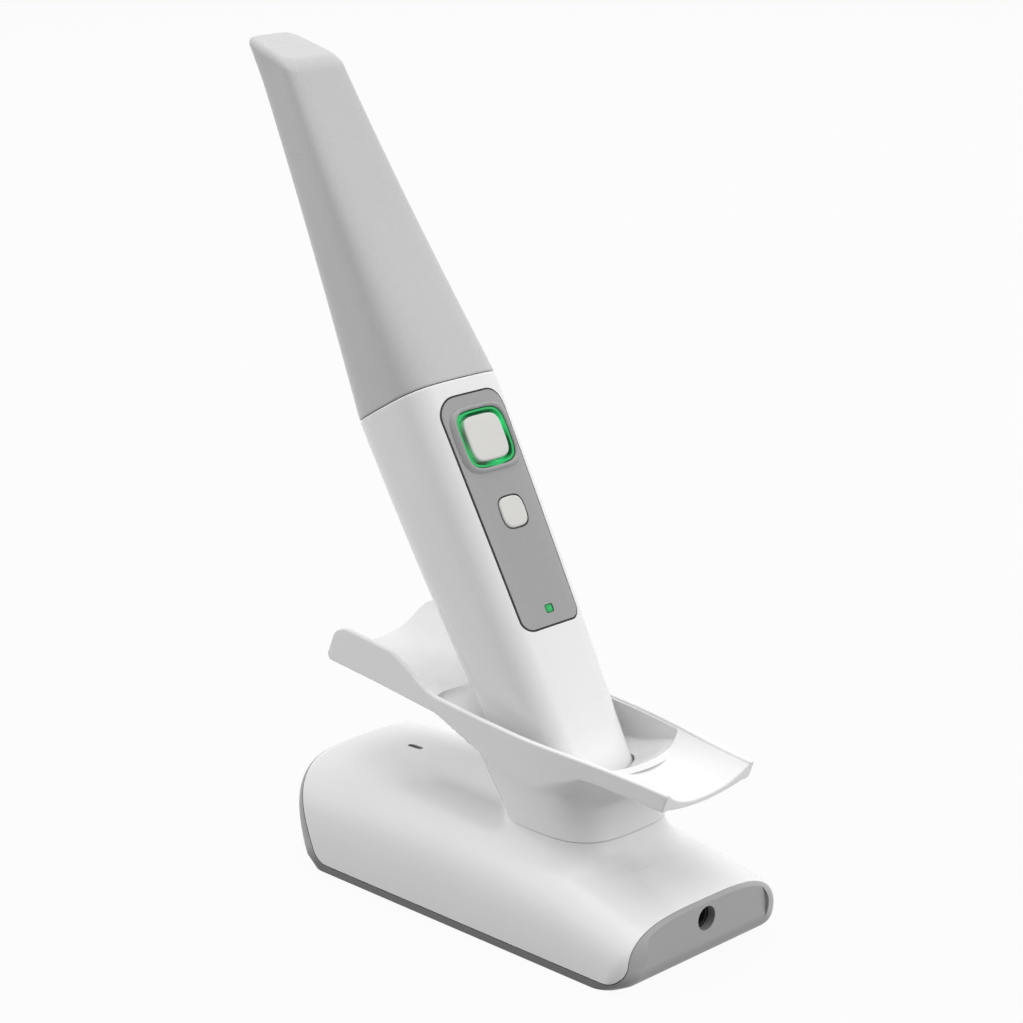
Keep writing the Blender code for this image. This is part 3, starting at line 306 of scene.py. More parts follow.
def loft(name, rings, place=UPRIGHT, ends="filled"):
    """A skin from ring to ring on a flat grid's points; its ends are filled, or joined to each other."""
    around = len(rings[0])
    if ends == "joined":
        rings = [*rings, rings[0]]
    bpy.ops.object.select_all(action="DESELECT")
    bpy.ops.mesh.primitive_grid_add(x_subdivisions=around, y_subdivisions=len(rings) - 1, location=(0, 0, 0))
    made = bpy.context.object
    made.name = name
    made.data.name = name
    for row, ring in enumerate(rings):
        for column in range(around + 1):
            made.data.vertices[row * (around + 1) + column].co = place @ Vector(ring[column % around])
    bpy.ops.object.mode_set(mode="EDIT")
    bpy.ops.mesh.select_all(action="SELECT")
    bpy.ops.mesh.remove_doubles(threshold=WELD)
    if ends == "filled":
        bpy.ops.mesh.fill_holes(sides=0)
    bpy.ops.mesh.normals_make_consistent(inside=False)
    bpy.ops.object.mode_set(mode="OBJECT")
    return made


def plate(name, outline, thick, place):
    """A flat outline with this thickness, half of it each way."""
    return loft(name, [[(x, y, side * thick / 2) for x, y in outline] for side in (-1, 1)], place)


def box(name, size, centre, place=UPRIGHT):
    bpy.ops.object.select_all(action="DESELECT")
    bpy.ops.mesh.primitive_cube_add(size=1)
    made = bpy.context.object
    made.name = name
    made.data.transform(place @ Matrix.Translation(centre) @ Matrix.Diagonal((*size, 1)))
    return made


def facing(direction, centre):
    """The placement that sets a flat outline square to an axis: its own x and y stay upright and level."""
    turns = {
        "x": Matrix(((0, 0, 1), (1, 0, 0), (0, 1, 0))),
        "y": Matrix(((1, 0, 0), (0, 0, -1), (0, 1, 0))),
        "z": Matrix.Identity(3),
    }
    return Matrix.Translation(centre) @ turns[direction].to_4x4()


def cut(target, *cutters, operation="DIFFERENCE"):
    """Cut the target with pieces that are used up."""
    for cutter in cutters:
        apply_modifier(target, "BOOLEAN", operation=operation, solver="MANIFOLD", object=cutter)
        bpy.data.objects.remove(cutter)


def shade(piece, finish, angle=35):
    """Give the piece its finish, smooth but for edges that turn by more than the angle."""
    piece.data.materials.clear()
    piece.data.materials.append(finish)
    select_only(piece)
    bpy.ops.object.shade_smooth_by_angle(angle=math.radians(angle))


def finish_piece(piece, finish, node_name, angle=35):
    """Shade the piece and let it stand for its CAD node and move with it."""
    shade(piece, finish, angle)
    apply_modifier(piece, "WEIGHTED_NORMAL", keep_sharp=True, weight=80)
    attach(piece, nodes[node_name]["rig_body"])
    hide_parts(node_name)
    return piece


def blend(low, high, share, bow=0.0):
    """A value on a straight run from low to high, bowed by so much in the middle."""
    return low + (high - low) * share + 4 * bow * share * (1 - share)


def evenly(low, high, count):
    return [blend(low, high, step / (count - 1)) for step in range(count)]


def smooth_step(start, end, x):
    """0 before the start, 1 past the end, with a soft run between them."""
    share = min(max((x - start) / (end - start), 0), 1)
    return share * share * (3 - 2 * share)


def through_rows(rows, count):
    """So many rows of numbers on the smooth curve through these rows."""
    made = []
    last = len(rows) - 1
    for step in range(count):
        place = last * step / (count - 1)
        at = min(int(place), last - 1)
        t = place - at
        four = [rows[min(max(at + k, 0), last)] for k in (-1, 0, 1, 2)]
        row = []
        for a, b, c, d in zip(*four):
            row.append(b + 0.5 * t * (c - a + t * (2 * a - 5 * b + 4 * c - d + t * (3 * (b - c) + d - a))))
        made.append(row)
    return made


def signed_power(value, power):
    return math.copysign(abs(value) ** power, value)


def squared_point(angle, half_x, half_y, power, taper):
    x = signed_power(math.cos(angle), 2 / power)
    return half_x * x, half_y * signed_power(math.sin(angle), 2 / power) * (1 + taper * x)


def oval(half_x, half_y, power, taper=0.0, count=AROUND, turn=math.tau):
    """A squared oval round the origin, wider at its +X side by the taper, with most points where it turns."""
    fine = 720
    dense = [squared_point(turn * step / fine, half_x, half_y, power, taper) for step in range(fine + 1)]
    size = half_x + half_y
    reach = [0.0]
    heading = None
    for (x0, y0), (x1, y1) in zip(dense, dense[1:]):
        ahead = math.atan2(y1 - y0, x1 - x0)
        swing = 0 if heading is None else abs((ahead - heading + math.pi) % math.tau - math.pi)
        heading = ahead
        reach.append(reach[-1] + math.hypot(x1 - x0, y1 - y0) / size + swing / 2)
    total = count if turn == math.tau else count - 1
    points = []
    at = 0
    for step in range(count):
        goal = reach[-1] * step / total
        while at < fine - 1 and reach[at + 1] < goal:
            at += 1
        share = (goal - reach[at]) / (reach[at + 1] - reach[at])
        points.append(tuple(a + (b - a) * share for a, b in zip(dense[at], dense[at + 1])))
    return points


def squircle(length, width, power=RING_POWER, grow=0.0):
    """A key's outline: its width runs across the handpiece and its length along it."""
    return oval(width / 2 + grow, length / 2 + grow, power, 0, 96)


def rounded_outline(corners):
    """The outline through (x, y, radius) corners, each rounded by an arc."""
    points = []
    count = len(corners)
    for i, (x, y, radius) in enumerate(corners):
        here = Vector((x, y))
        back = (Vector(corners[i - 1][:2]) - here).normalized()
        ahead = (Vector(corners[(i + 1) % count][:2]) - here).normalized()
        if radius == 0:
            points.append(here)
            continue
        half = back.angle(ahead) / 2
        reach = radius / math.tan(half)
        centre = here + (back + ahead).normalized() * (radius / math.sin(half))
        start = here + back * reach - centre
        sweep = start.angle_signed(here + ahead * reach - centre)
        for step in range(ARC_STEPS + 1):
            spoke = start.copy()
            spoke.rotate(Matrix.Rotation(-sweep * step / ARC_STEPS, 2))
            points.append(centre + spoke)
    return points


def quarter(steps):
    """The sine and cosine of evenly spaced angles from 0 to 90 degrees."""
    angles = [math.radians(90) * step / steps for step in range(steps + 1)]
    return [(math.sin(angle), math.cos(angle)) for angle in angles]


# Finishes

def new_finish(name, roughness, metallic=0.0):
    """A material with its node tree, its shader and a texture space that is the object's own."""
    made = bpy.data.materials.new(name)
    made.use_nodes = True
    tree = made.node_tree
    shader = tree.nodes["Principled BSDF"]
    shader.inputs["Roughness"].default_value = roughness
    shader.inputs["Metallic"].default_value = metallic
    space = tree.nodes.new("ShaderNodeTexCoord")
    return made, tree, shader, space.outputs["Object"]


def noise(tree, space, scale, detail=2.0, stretch=(1, 1, 1)):
    mapping = tree.nodes.new("ShaderNodeMapping")
    mapping.inputs["Scale"].default_value = stretch
    tree.links.new(space, mapping.inputs["Vector"])
    made = tree.nodes.new("ShaderNodeTexNoise")
    made.inputs["Scale"].default_value = scale
    made.inputs["Detail"].default_value = detail
    tree.links.new(mapping.outputs["Vector"], made.inputs["Vector"])
    return made.outputs["Fac"]


def between(tree, share, low, high, start=0.3, end=0.7):
    """Runs from one colour to another as the share goes from start to end."""
    ramp = tree.nodes.new("ShaderNodeValToRGB")
    ramp.color_ramp.elements[0].position = start
    ramp.color_ramp.elements[1].position = end
    ramp.color_ramp.elements[0].color = (*low, 1)
    ramp.color_ramp.elements[1].color = (*high, 1)
    tree.links.new(share, ramp.inputs["Fac"])
    return ramp.outputs["Color"]


def from_to(tree, value, start, end, low, high):
    """Mixes from one colour to another as a value goes from start to end; a colour may be an output."""
    rise = tree.nodes.new("ShaderNodeMapRange")
    rise.inputs["From Min"].default_value = start
    rise.inputs["From Max"].default_value = end
    tree.links.new(value, rise.inputs["Value"])
    mix = tree.nodes.new("ShaderNodeMix")
    mix.data_type = "RGBA"
    tree.links.new(rise.outputs[0], mix.inputs["Factor"])
    for socket, colour in (("A", low), ("B", high)):
        if isinstance(colour, list):
            mix.inputs[socket].default_value = (*colour, 1)
        else:
            tree.links.new(colour, mix.inputs[socket])
    return mix.outputs["Result"]


def calculate(tree, operation, first, second):
    """The output of a math node; the second value is an output or a number."""
    made = tree.nodes.new("ShaderNodeMath")
    made.operation = operation
    tree.links.new(first, made.inputs[0])
    if isinstance(second, float):
        made.inputs[1].default_value = second
    else:
        tree.links.new(second, made.inputs[1])
    return made.outputs[0]


def texture_skin(tree, shader, height, depth, strength):
    bump = tree.nodes.new("ShaderNodeBump")
    bump.inputs["Distance"].default_value = depth
    bump.inputs["Strength"].default_value = strength
    tree.links.new(height, bump.inputs["Height"])
    tree.links.new(bump.outputs["Normal"], shader.inputs["Normal"])


def moulded_plastic(name, colour, spread, roughness, peel, coat=0.0):
    """Injection moulded plastic: faint flow marks in its colour and gloss, and an orange peel skin."""
    made, tree, shader, space = new_finish(name, roughness)
    low = [max(c - spread, 0) for c in colour]
    high = [min(c + spread, 1) for c in colour]
    flow = noise(tree, space, 22, 3)
    tree.links.new(between(tree, flow, low, high), shader.inputs["Base Color"])
    gloss = noise(tree, space, 55, 2)
    smooth = [roughness * 0.85] * 3
    dull = [roughness * 1.2] * 3
    tree.links.new(between(tree, gloss, smooth, dull), shader.inputs["Roughness"])
    texture_skin(tree, shader, noise(tree, space, 900, 2), 0.1 * MM, peel)
    if coat:
        shader.inputs["Coat Weight"].default_value = coat
        shader.inputs["Coat Roughness"].default_value = 0.1
    return made


def metallic_paint(name, colour, flake, roughness, metallic, foot=None):
    """Satin paint with fine metal flake, as on the key panel and the base's rim, with shade painted in that
    makes it darker towards its foot where a foot is given.
    """
    made, tree, shader, space = new_finish(name, roughness, metallic)
    low = [c * (1 - flake) for c in colour]
    high = [c * (1 + flake) for c in colour]
    grains = noise(tree, space, 4200, 1)
    paint = between(tree, grains, low, high, 0.35, 0.65)
    if foot:
        # Painted shade: the colour darkens from the foot's end height down to its start height, towards the
        # floor.
        start, end, painted_shade = foot
        axes = tree.nodes.new("ShaderNodeSeparateXYZ")
        tree.links.new(space, axes.inputs[0])
        paint = from_to(tree, axes.outputs["Z"], start, end, [c * painted_shade for c in colour], paint)
    tree.links.new(paint, shader.inputs["Base Color"])
    cloud = noise(tree, space, 60, 2)
    tree.links.new(between(tree, cloud, [roughness * 0.9] * 3, [roughness * 1.15] * 3),
                   shader.inputs["Roughness"])
    texture_skin(tree, shader, grains, 0.02 * MM, 0.12)
    return made


def plain_metal(name, colour, roughness, stretch=(1, 1, 1)):
    """Machined or plated metal with fine lines along one direction."""
    made, tree, shader, space = new_finish(name, roughness, 1.0)
    lines = noise(tree, space, 1400, 3, stretch)
    low = [c * 0.88 for c in colour]
    tree.links.new(between(tree, lines, low, colour), shader.inputs["Base Color"])
    tree.links.new(between(tree, lines, [roughness * 0.8] * 3, [roughness * 1.3] * 3),
                   shader.inputs["Roughness"])
    texture_skin(tree, shader, lines, 0.02 * MM, 0.15)
    return made


def light_guide(name, colour, lamps, reach, dim, bright, rim=0.0):
    """Clear tinted plastic lit from behind, brighter near each of its lamps and along its upper edge."""
    made, tree, shader, space = new_finish(name, 0.16)
    nearest = None
    for lamp in lamps:
        away = tree.nodes.new("ShaderNodeVectorMath")
        away.operation = "DISTANCE"
        away.inputs[1].default_value = HANDPIECE @ Vector(lamp)
        tree.links.new(space, away.inputs[0])
        value = away.outputs["Value"]
        nearest = value if nearest is None else calculate(tree, "MINIMUM", nearest, value)
    share = calculate(tree, "DIVIDE", nearest, reach)
    glow = between(tree, share, [c * bright for c in colour], [c * dim for c in colour], 0.0, 1.0)
    if rim:
        front = HANDPIECE.to_3x3() @ Vector((1, 0, 0))
        level = tree.nodes.new("ShaderNodeVectorMath")
        level.operation = "DOT_PRODUCT"
        level.inputs[1].default_value = front
        tree.links.new(space, level.inputs[0])
        face = front.dot(HANDPIECE.translation)
        glow = from_to(tree, level.outputs["Value"], face - 0.1 * MM, face + 0.25 * MM, glow,
                       [c * rim for c in colour])
    tree.links.new(glow, shader.inputs["Emission Color"])
    mottle = noise(tree, space, 700, 2)
    tree.links.new(between(tree, mottle, [c * 0.08 for c in colour], [c * 0.2 for c in colour]),
                   shader.inputs["Base Color"])
    shader.inputs["Emission Strength"].default_value = 1.0
    return made


def clear_glass():
    made, tree, shader, space = new_finish("coated_glass", 0.02)
    shader.inputs["Transmission Weight"].default_value = 1.0
    shader.inputs["IOR"].default_value = 1.5
    tint = noise(tree, space, 40, 1)
    tree.links.new(between(tree, tint, (0.85, 0.93, 0.95), (0.9, 0.96, 0.96)), shader.inputs["Base Color"])
    return made


WHITE = moulded_plastic("white_gloss_moulding", (0.80, 0.80, 0.805), 0.008, 0.2, 0.03, 0.35)
SLEEVE = moulded_plastic("sleeve_grey_moulding", (0.50, 0.50, 0.50), 0.006, 0.26, 0.02, 0.2)
CAP = moulded_plastic("key_cap_satin", (0.66, 0.655, 0.635), 0.012, 0.42, 0.12)
DARK = moulded_plastic("black_moulding", (0.02, 0.02, 0.021), 0.006, 0.5, 0.3)
RUBBER = moulded_plastic("soft_rubber", (0.035, 0.035, 0.036), 0.01, 0.8, 0.6)
BOARD = moulded_plastic("circuit_board", (0.02, 0.16, 0.06), 0.012, 0.4, 0.2)
CELL = moulded_plastic("cell_wrap", (0.05, 0.12, 0.4), 0.02, 0.35, 0.1)
PANEL = metallic_paint("panel_grey_paint", (0.34, 0.34, 0.34), 0.05, 0.36, 0.2)
# The rim's grey has painted shade: it darkens to 0.38 of its colour from 8 mm down to 2.5 mm over the floor.
RIM = metallic_paint("rim_grey_paint_painted_shade", (0.37, 0.37, 0.37), 0.06, 0.36, 0.2, (2.5 * MM, 8 * MM, 0.38))
STEEL = plain_metal("bare_steel", (0.56, 0.56, 0.57), 0.3)
ALUMINIUM = plain_metal("machined_aluminium", (0.72, 0.72, 0.73), 0.35)
GOLD = plain_metal("gold_plating", (0.9, 0.66, 0.27), 0.22)
MIRROR = plain_metal("silvered_mirror", (0.93, 0.93, 0.93), 0.03)
GLASS = clear_glass()
GREEN = (0.02, 0.62, 0.16)
RING_LAMPS = [(-1 * MM, -9.3 * MM, -4.5 * MM), (-1 * MM, -8.4 * MM, 8 * MM), (-1 * MM, 3 * MM, -8.8 * MM),
              (-1 * MM, 9.4 * MM, 3.5 * MM)]
LED_LAMPS = [(0, 0.4 * MM, LED_PLACE)]
RING_GLOW = light_guide("ring_green_light", GREEN, RING_LAMPS, 5.5 * MM, 0.06, 1.1, 0.62)
LED_GLOW = light_guide("led_green_light", GREEN, LED_LAMPS, 2.2 * MM, 0.12, 0.75)

NODE_FINISH = {
    "handle_shell": WHITE, "handle_end_cap": WHITE, "cradle_tray": WHITE, "base_cover": WHITE,
    "tip_sleeve": SLEEVE, "control_panel": PANEL, "base_frame": RIM,
    "scan_button": CAP, "mode_button": CAP, "ring_light": RING_GLOW, "status_window": LED_GLOW,
    "scan_switch": DARK, "mode_switch": DARK, "inner_frame": DARK, "lens_barrel": DARK,
    "camera_left": DARK, "camera_right": DARK, "optical_nose": DARK, "contact_block": DARK,
    "status_light": DARK, "power_jack": DARK, "nose_seal": RUBBER, "rubber_pad": RUBBER,
    "button_board": BOARD, "main_board": BOARD, "charge_board": BOARD, "battery_cell": CELL,
    "projector_module": ALUMINIUM, "ballast_plate": STEEL, "jack_pin": STEEL, "nose_window": GLASS,
    "tip_mirror": MIRROR,
}
for number in range(1, 5):
    NODE_FINISH[f"contact_pad_{number}"] = GOLD
    NODE_FINISH[f"charge_pin_{number}"] = GOLD

for name, node in nodes.items():
    node.data.materials.clear()
    node.data.materials.append(NODE_FINISH[name])


# Handpiece

def handle_ring(height, grow=0.0, front=None):
    """The handle's cross-section at a height, grown outwards, with its front moved where given."""
    share = (height - HANDLE_BOTTOM) / HANDLE_LENGTH
    depth = blend(HANDLE_DEPTH_LOW, HANDLE_DEPTH_TOP, share, HANDLE_BOW_DEPTH)
    half_width = blend(HANDLE_WIDTH_LOW, HANDLE_WIDTH_TOP, share, HANDLE_BOW_WIDTH) / 2 + grow
    heel = max(0, (HANDLE_BOTTOM + HEEL_LENGTH - height) / HEEL_LENGTH)
    back = -depth + HEEL_CUT * heel * heel - grow
    face = grow if front is None else front
    outline = oval((face - back) / 2, half_width, HANDLE_POWER, HANDLE_TAPER)
    return [((face + back) / 2 + x, y, height) for x, y in outline]


def handle_solid(name, low, high, grow=0.0, front=None, steps=24):
    return loft(name, [handle_ring(height, grow, front) for height in evenly(low, high, steps)], HANDPIECE)


def through_front(name, outline, low, high, height=0.0):
    """A solid with this outline, standing out from the handle's front between two depths."""
    return plate(name, outline, high - low, HANDPIECE @ facing("x", ((low + high) / 2, 0, height)))


def panel_outline(grow=0.0):
    top = PANEL_WIDTH_TOP / 2 + grow
    low = PANEL_WIDTH_LOW / 2 + grow
    bottom = PANEL_TOP - PANEL_LENGTH
    return rounded_outline([
        (-top, PANEL_TOP + grow, PANEL_ROUND_TOP + grow),
        (-low, bottom - grow, PANEL_ROUND_LOW + grow),
        (low, bottom - grow, PANEL_ROUND_LOW + grow),
        (top, PANEL_TOP + grow, PANEL_ROUND_TOP + grow),
    ])


def make_handle():
    rings = [handle_ring(HANDLE_BOTTOM + END_ROUND * (1 - cosine), -END_ROUND * (1 - sine))
             for sine, cosine in quarter(8)]
    rings += [handle_ring(height) for height in evenly(HANDLE_BOTTOM + END_ROUND, PARTING - 2 * GAP, 40)[1:]]
    rings += [handle_ring(PARTING - GAP, -GAP / 4), handle_ring(PARTING, -GAP)]
    shell = loft("handle_shell_moulding", rings, HANDPIECE)
    reach = CAP_FLANGE + GAP
    pocket_low = -FRONT_WALL - BEYOND
    pocket_top = -PANEL_DEPTH + GAP
    cut(
        shell,
        handle_solid("hollow", HANDLE_BOTTOM - BEYOND, PARTING + BEYOND, -HANDLE_WALL, -FRONT_WALL),
        through_front("seat", panel_outline(SEAL_WIDTH + SEAL_FIT), -PANEL_DEPTH, BEYOND),
        through_front("pocket", squircle(RING_LENGTH, RING_WIDTH, grow=reach), pocket_low, pocket_top),
        through_front("mode_pocket", squircle(MODE_LENGTH, MODE_WIDTH, MODE_POWER, reach), pocket_low,
                      pocket_top, MODE_PLACE),
        through_front("led_pocket", squircle(LED_LENGTH, LED_WIDTH, LED_POWER, reach), pocket_low, pocket_top,
                      LED_PLACE),
    )
    finish_piece(shell, WHITE, "handle_shell")


def lip_ring(reach, proud):
    """The lit ring's outline, grown by a reach, at a height over the handpiece's front."""
    return [(proud, x, y) for x, y in squircle(RING_LENGTH, RING_WIDTH, grow=reach)]


def make_panel():
    panel = through_front("control_panel_moulding", panel_outline(), -PANEL_DEPTH + GAP, BEYOND)
    cut(panel, handle_solid("skin", PANEL_TOP - PANEL_LENGTH - BEYOND, PARTING + BEYOND, PANEL_PROUD),
        operation="INTERSECT")
    crest = LIP_REACH * LIP_CREST
    slope = [lip_ring(blend(LIP_REACH, crest, step / 8),
                      -LIP_ROOT + (LIP_PROUD + LIP_ROOT) * math.sin(math.radians(90) * step / 8))
             for step in range(9)]
    inner = [lip_ring(blend(crest, GAP, step / 5),
                      LIP_PROUD * math.cos(math.radians(LIP_INNER_TURN) * step / 5))
             for step in range(1, 6)]
    lip = loft("lip", [lip_ring(LIP_REACH, -LIP_BURIED), *slope, *inner], HANDPIECE)
    cut(panel, lip, operation="UNION")
    cut(
        panel,
        through_front("ring_hole", squircle(RING_LENGTH, RING_WIDTH, grow=GAP), -2 * PANEL_DEPTH, BEYOND),
        through_front("mode_hole", squircle(MODE_LENGTH, MODE_WIDTH, MODE_POWER, MODE_SEAL), -2 * PANEL_DEPTH,
                      BEYOND, MODE_PLACE),
        through_front("led_hole", squircle(LED_LENGTH, LED_WIDTH, LED_POWER, GAP / 2), -2 * PANEL_DEPTH,
                      BEYOND, LED_PLACE),
    )
    finish_piece(panel, PANEL, "control_panel")


def make_gasket(name, outlines, top, height=0.0):
    """A black seal that fills the gap between two outlines to just under the surface."""
    outer, inner = outlines
    gasket = through_front(name, outer, -PANEL_DEPTH + 2 * GAP, BEYOND, height)
    cut(gasket, handle_solid("skin", PANEL_TOP - PANEL_LENGTH - BEYOND, PARTING + BEYOND, top),
        operation="INTERSECT")
    cut(gasket, through_front("inside", inner, -2 * PANEL_DEPTH, 2 * BEYOND, height))
    shade(gasket, DARK)
    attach(gasket, nodes["control_panel"]["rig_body"])


def make_ring_light():
    """A channel of clear plastic: a thin outer wall, a sunk floor, and the bore round the scan key."""
    low = -PANEL_DEPTH + GAP
    rings = [lip_ring(reach, proud) for reach, proud in [(0, low), *RING_ROWS]]
    bore = squircle(CAP_LENGTH, CAP_WIDTH, grow=GAP)
    rings += [[(-RING_SINK, x, y) for x, y in bore], [(low, x, y) for x, y in bore]]
    ring = loft("ring_light_channel", rings, HANDPIECE, "joined")
    finish_piece(ring, RING_GLOW, "ring_light")


def make_key(node_name, length, width, power, proud, height):
    """A key with a rounded edge and a faint crown, on the flange that keeps it in."""
    flange_top = -PANEL_DEPTH
    rows = [(CAP_FLANGE, flange_top - FLANGE_HEIGHT), (CAP_FLANGE, flange_top), (0, flange_top + 0.01 * MM),
            (0, proud - KEY_EDGE)]
    rows += [(-KEY_EDGE * (1 - cosine), proud - KEY_EDGE * (1 - sine) - KEY_CROWN)
             for sine, cosine in quarter(5)[1:]]
    rows += [(-KEY_EDGE - inset * MM, proud - KEY_CROWN / inset) for inset in KEY_CROWN_ROWS]
    rings = [[(out, x, height + y) for x, y in squircle(length, width, power, reach)] for reach, out in rows]
    key = loft(node_name + "_moulding", rings, HANDPIECE)
    finish_piece(key, CAP, node_name)


def make_status_window():
    rings = [[(out, x, LED_PLACE + y) for x, y in squircle(LED_LENGTH, LED_WIDTH, LED_POWER, reach)]
             for reach, out in [(0, -FRONT_WALL), *LENS_ROWS]]
    finish_piece(loft("status_window_lens", rings, HANDPIECE), LED_GLOW, "status_window")


def sleeve_ring(share, inset=0.0, back_off=0.0, low=PARTING):
    """The sleeve's cross-section a share of the way up to its slanted end face."""
    points = []
    up = (TIP_FACE - PARTING) / (TIP_LENGTH - PARTING) * share
    level = min(max(up, 0), 1)
    power = blend(HANDLE_POWER, TIP_POWER, level)
    taper = blend(HANDLE_TAPER, TIP_TAPER, level)
    for unit_x, unit_y in oval(1, 1, power, taper):
        x = 0.0
        for _ in range(6):
            height = low + share * (TIP_FACE - x - low) - back_off
            part = (height - PARTING) / (TIP_LENGTH - PARTING)
            front = blend(0, -TIP_FRONT_DROP, part, -TIP_FRONT_HOLLOW) - inset
            back = blend(-HANDLE_DEPTH_TOP, TIP_BACK_RISE - HANDLE_DEPTH_TOP, part, TIP_BACK_BOW) + inset
            x = (front + back) / 2 + (front - back) / 2 * unit_x
        half_width = blend(HANDLE_WIDTH_TOP, TIP_WIDTH, min(part, 1)) / 2 - inset
        points.append((x, half_width * unit_y, height))
    return points


def make_sleeve():
    low = PARTING + GAP
    slant = math.sqrt(2)
    rings = [sleeve_ring(0, GAP, 0, low), sleeve_ring(0, GAP / 4, -GAP, low)]
    rings += [sleeve_ring(share, 0, 0, low) for share in evenly(0.006, 0.955, 36)]
    rings += [sleeve_ring(1, TIP_EDGE_ROUND * (1 - cosine), slant * TIP_EDGE_ROUND * (1 - sine), low)
              for sine, cosine in quarter(10)]
    sleeve = loft("tip_sleeve_moulding", rings, HANDPIECE)
    inner = [sleeve_ring(0, TIP_WALL, BEYOND)]
    inner += [sleeve_ring(share, TIP_WALL) for share in evenly(0, 0.97, 16)]
    inner.append(sleeve_ring(1, TIP_WALL, slant * TIP_WALL))
    back = TIP_BACK_RISE - HANDLE_DEPTH_TOP
    window = box("window", (4 * TIP_WALL, WINDOW_WIDTH, WINDOW_LENGTH),
                 (back, 0, TIP_FACE + WINDOW_LENGTH + TIP_WALL), HANDPIECE)
    cut(sleeve, loft("sleeve_hollow", inner, HANDPIECE), window)
    finish_piece(sleeve, SLEEVE, "tip_sleeve")


# Cradle

def tray_floor(x):
    return TRAY_FLOOR + TRAY_TILT * x


def wall_height(x):
    fall = smooth_step(WALL_STEP_START, WALL_STEP_END, x)
    rise = smooth_step(TRAY_MID, BOWL_RIM_RIGHT, x)
    return WALL_LEFT + (WALL_MID - WALL_LEFT) * fall + (WALL_RIGHT - WALL_MID) * rise


def tray_half(x):
    edge, half = (TRAY_LEFT, TRAY_LEFT_HALF) if x < TRAY_MID else (TRAY_RIGHT, TRAY_RIGHT_HALF)
    share = min(abs(x - TRAY_MID) / abs(edge - TRAY_MID), 1)
    return TRAY_MID_HALF + (half - TRAY_MID_HALF) * smooth_step(TRAY_HALF_START, 1, share)


def tray_power(x):
    return blend(TRAY_POWER_LEFT, TRAY_POWER_RIGHT, smooth_step(WALL_STEP_START, WALL_STEP_END, x))


def trough_dip(x):
    """How far the middle of the right trough hangs below its edges."""
    return TROUGH_DIP * smooth_step(TRAY_MID, BOWL_RIM_RIGHT + BEYOND, x)


def skirt_edge(x):
    """The rounding under the outer wall, which fades where the neck carries on from the wall."""
    left, _, right, _, _ = BOWL_RINGS[3]
    over_neck = smooth_step(left - SKIRT_FADE, left, x) - smooth_step(right, right + SKIRT_FADE, x)
    return blend(SKIRT_EDGE, SKIRT_EDGE_OVER_NECK, over_neck)


def left_end(rise):
    """Where the left end's outline lies at a height over the tray's floor."""
    slope = TRAY_LEFT + LEFT_END_SLOPE * max(rise, 0) - LEFT_END_UNDERCUT * min(rise, 0)
    corner = max(rise - WALL_LEFT + LEFT_END_CORNER, 0) / LEFT_END_CORNER
    return slope + LEFT_END_BACK * (1 - math.sqrt(max(1 - min(corner, 1) ** 2, 0)))


def right_end(rise):
    return TRAY_RIGHT - RIGHT_END_SLOPE * max(WALL_RIGHT - rise, 0)


def trough_ring(x, inset=0.0, end=None, back_off=0.0):
    """The trough's cross-section at x, or with its points on an end's outline."""
    half = tray_half(x) - inset
    wall = wall_height(x) - inset
    lip = LIP_THICK - 2 * inset
    edge = min(LIP_EDGE, lip / 2 - LIP_FLAT)
    power = tray_power(x)
    inside = []
    dip = trough_dip(x)
    for step in range(HALF_AROUND + 1):
        share = math.sin(math.pi * (step / HALF_AROUND - 0.5))
        rise = (wall_height(x) - edge + dip) * abs(share) ** power - dip - inset
        inside.append(((half - lip) * share, rise))
    side = [(half - lip + edge * (1 - cosine), wall - edge * (1 - sine)) for sine, cosine in quarter(4)]
    side += [(half - edge * (1 - sine), wall - edge * (1 - cosine)) for sine, cosine in quarter(4)]
    low = inset - TRAY_THICK
    skirt = skirt_edge(x)
    side += [(half, blend(wall - edge, low + skirt, step / 10)) for step in range(1, 10)]
    side += [(half - skirt * (1 - cosine), low + skirt * (1 - sine)) for sine, cosine in quarter(5)]
    side.append((half - SKIRT_THICK, low))
    under = []
    hollow = (half - SKIRT_THICK) / (half - lip)
    for step, (across, _) in enumerate(inside[1:-1], 1):
        share = math.sin(math.pi * (step / HALF_AROUND - 0.5))
        lift = wall_height(x) * abs(share) ** power * hollow ** power * (1 - dip / TROUGH_DIP)
        under.append((across * hollow, low + lift - dip * (1 - share * share)))
    points = inside[:-1] + side + under[::-1] + [(-across, rise) for across, rise in side[::-1]][:-1]
    placed = []
    for across, rise in points:
        along = x if end is None else end(rise) + back_off
        placed.append(Vector((along, across, tray_floor(along) + rise)))
    return placed


def bowl_limit():
    """The bowl's greatest half width inside the tray's walls."""
    return TRAY_MID_HALF - TRAY_THICK - BOWL_INSET


def tilted_ring(row, limit=None, power=2.0):
    """A ring of the bowl: row gives x and z at its left and right ends, and its half width."""
    left, left_height, right, right_height, half_width = row
    half_length = (right - left) / 2
    tilt = (right_height - left_height) / (right - left)
    points = []
    for x, y in oval(half_length, half_width, power):
        along = (left + right) / 2 + x
        if limit is not None:
            most = tray_half(along) - TRAY_MID_HALF + limit
            y = max(-most, min(most, y))
        points.append((along, y, (left_height + right_height) / 2 + tilt * x))
    return points


def neck_ring(height, longer=0.0, wider=0.0, power=NECK_POWER):
    """A level ring of the neck, its half length and half width grown by so much."""
    outline = oval(NECK_HALF_LENGTH + longer, NECK_HALF_WIDTH + wider, power)
    return [(NECK_CENTRE + x, y, height) for x, y in outline]


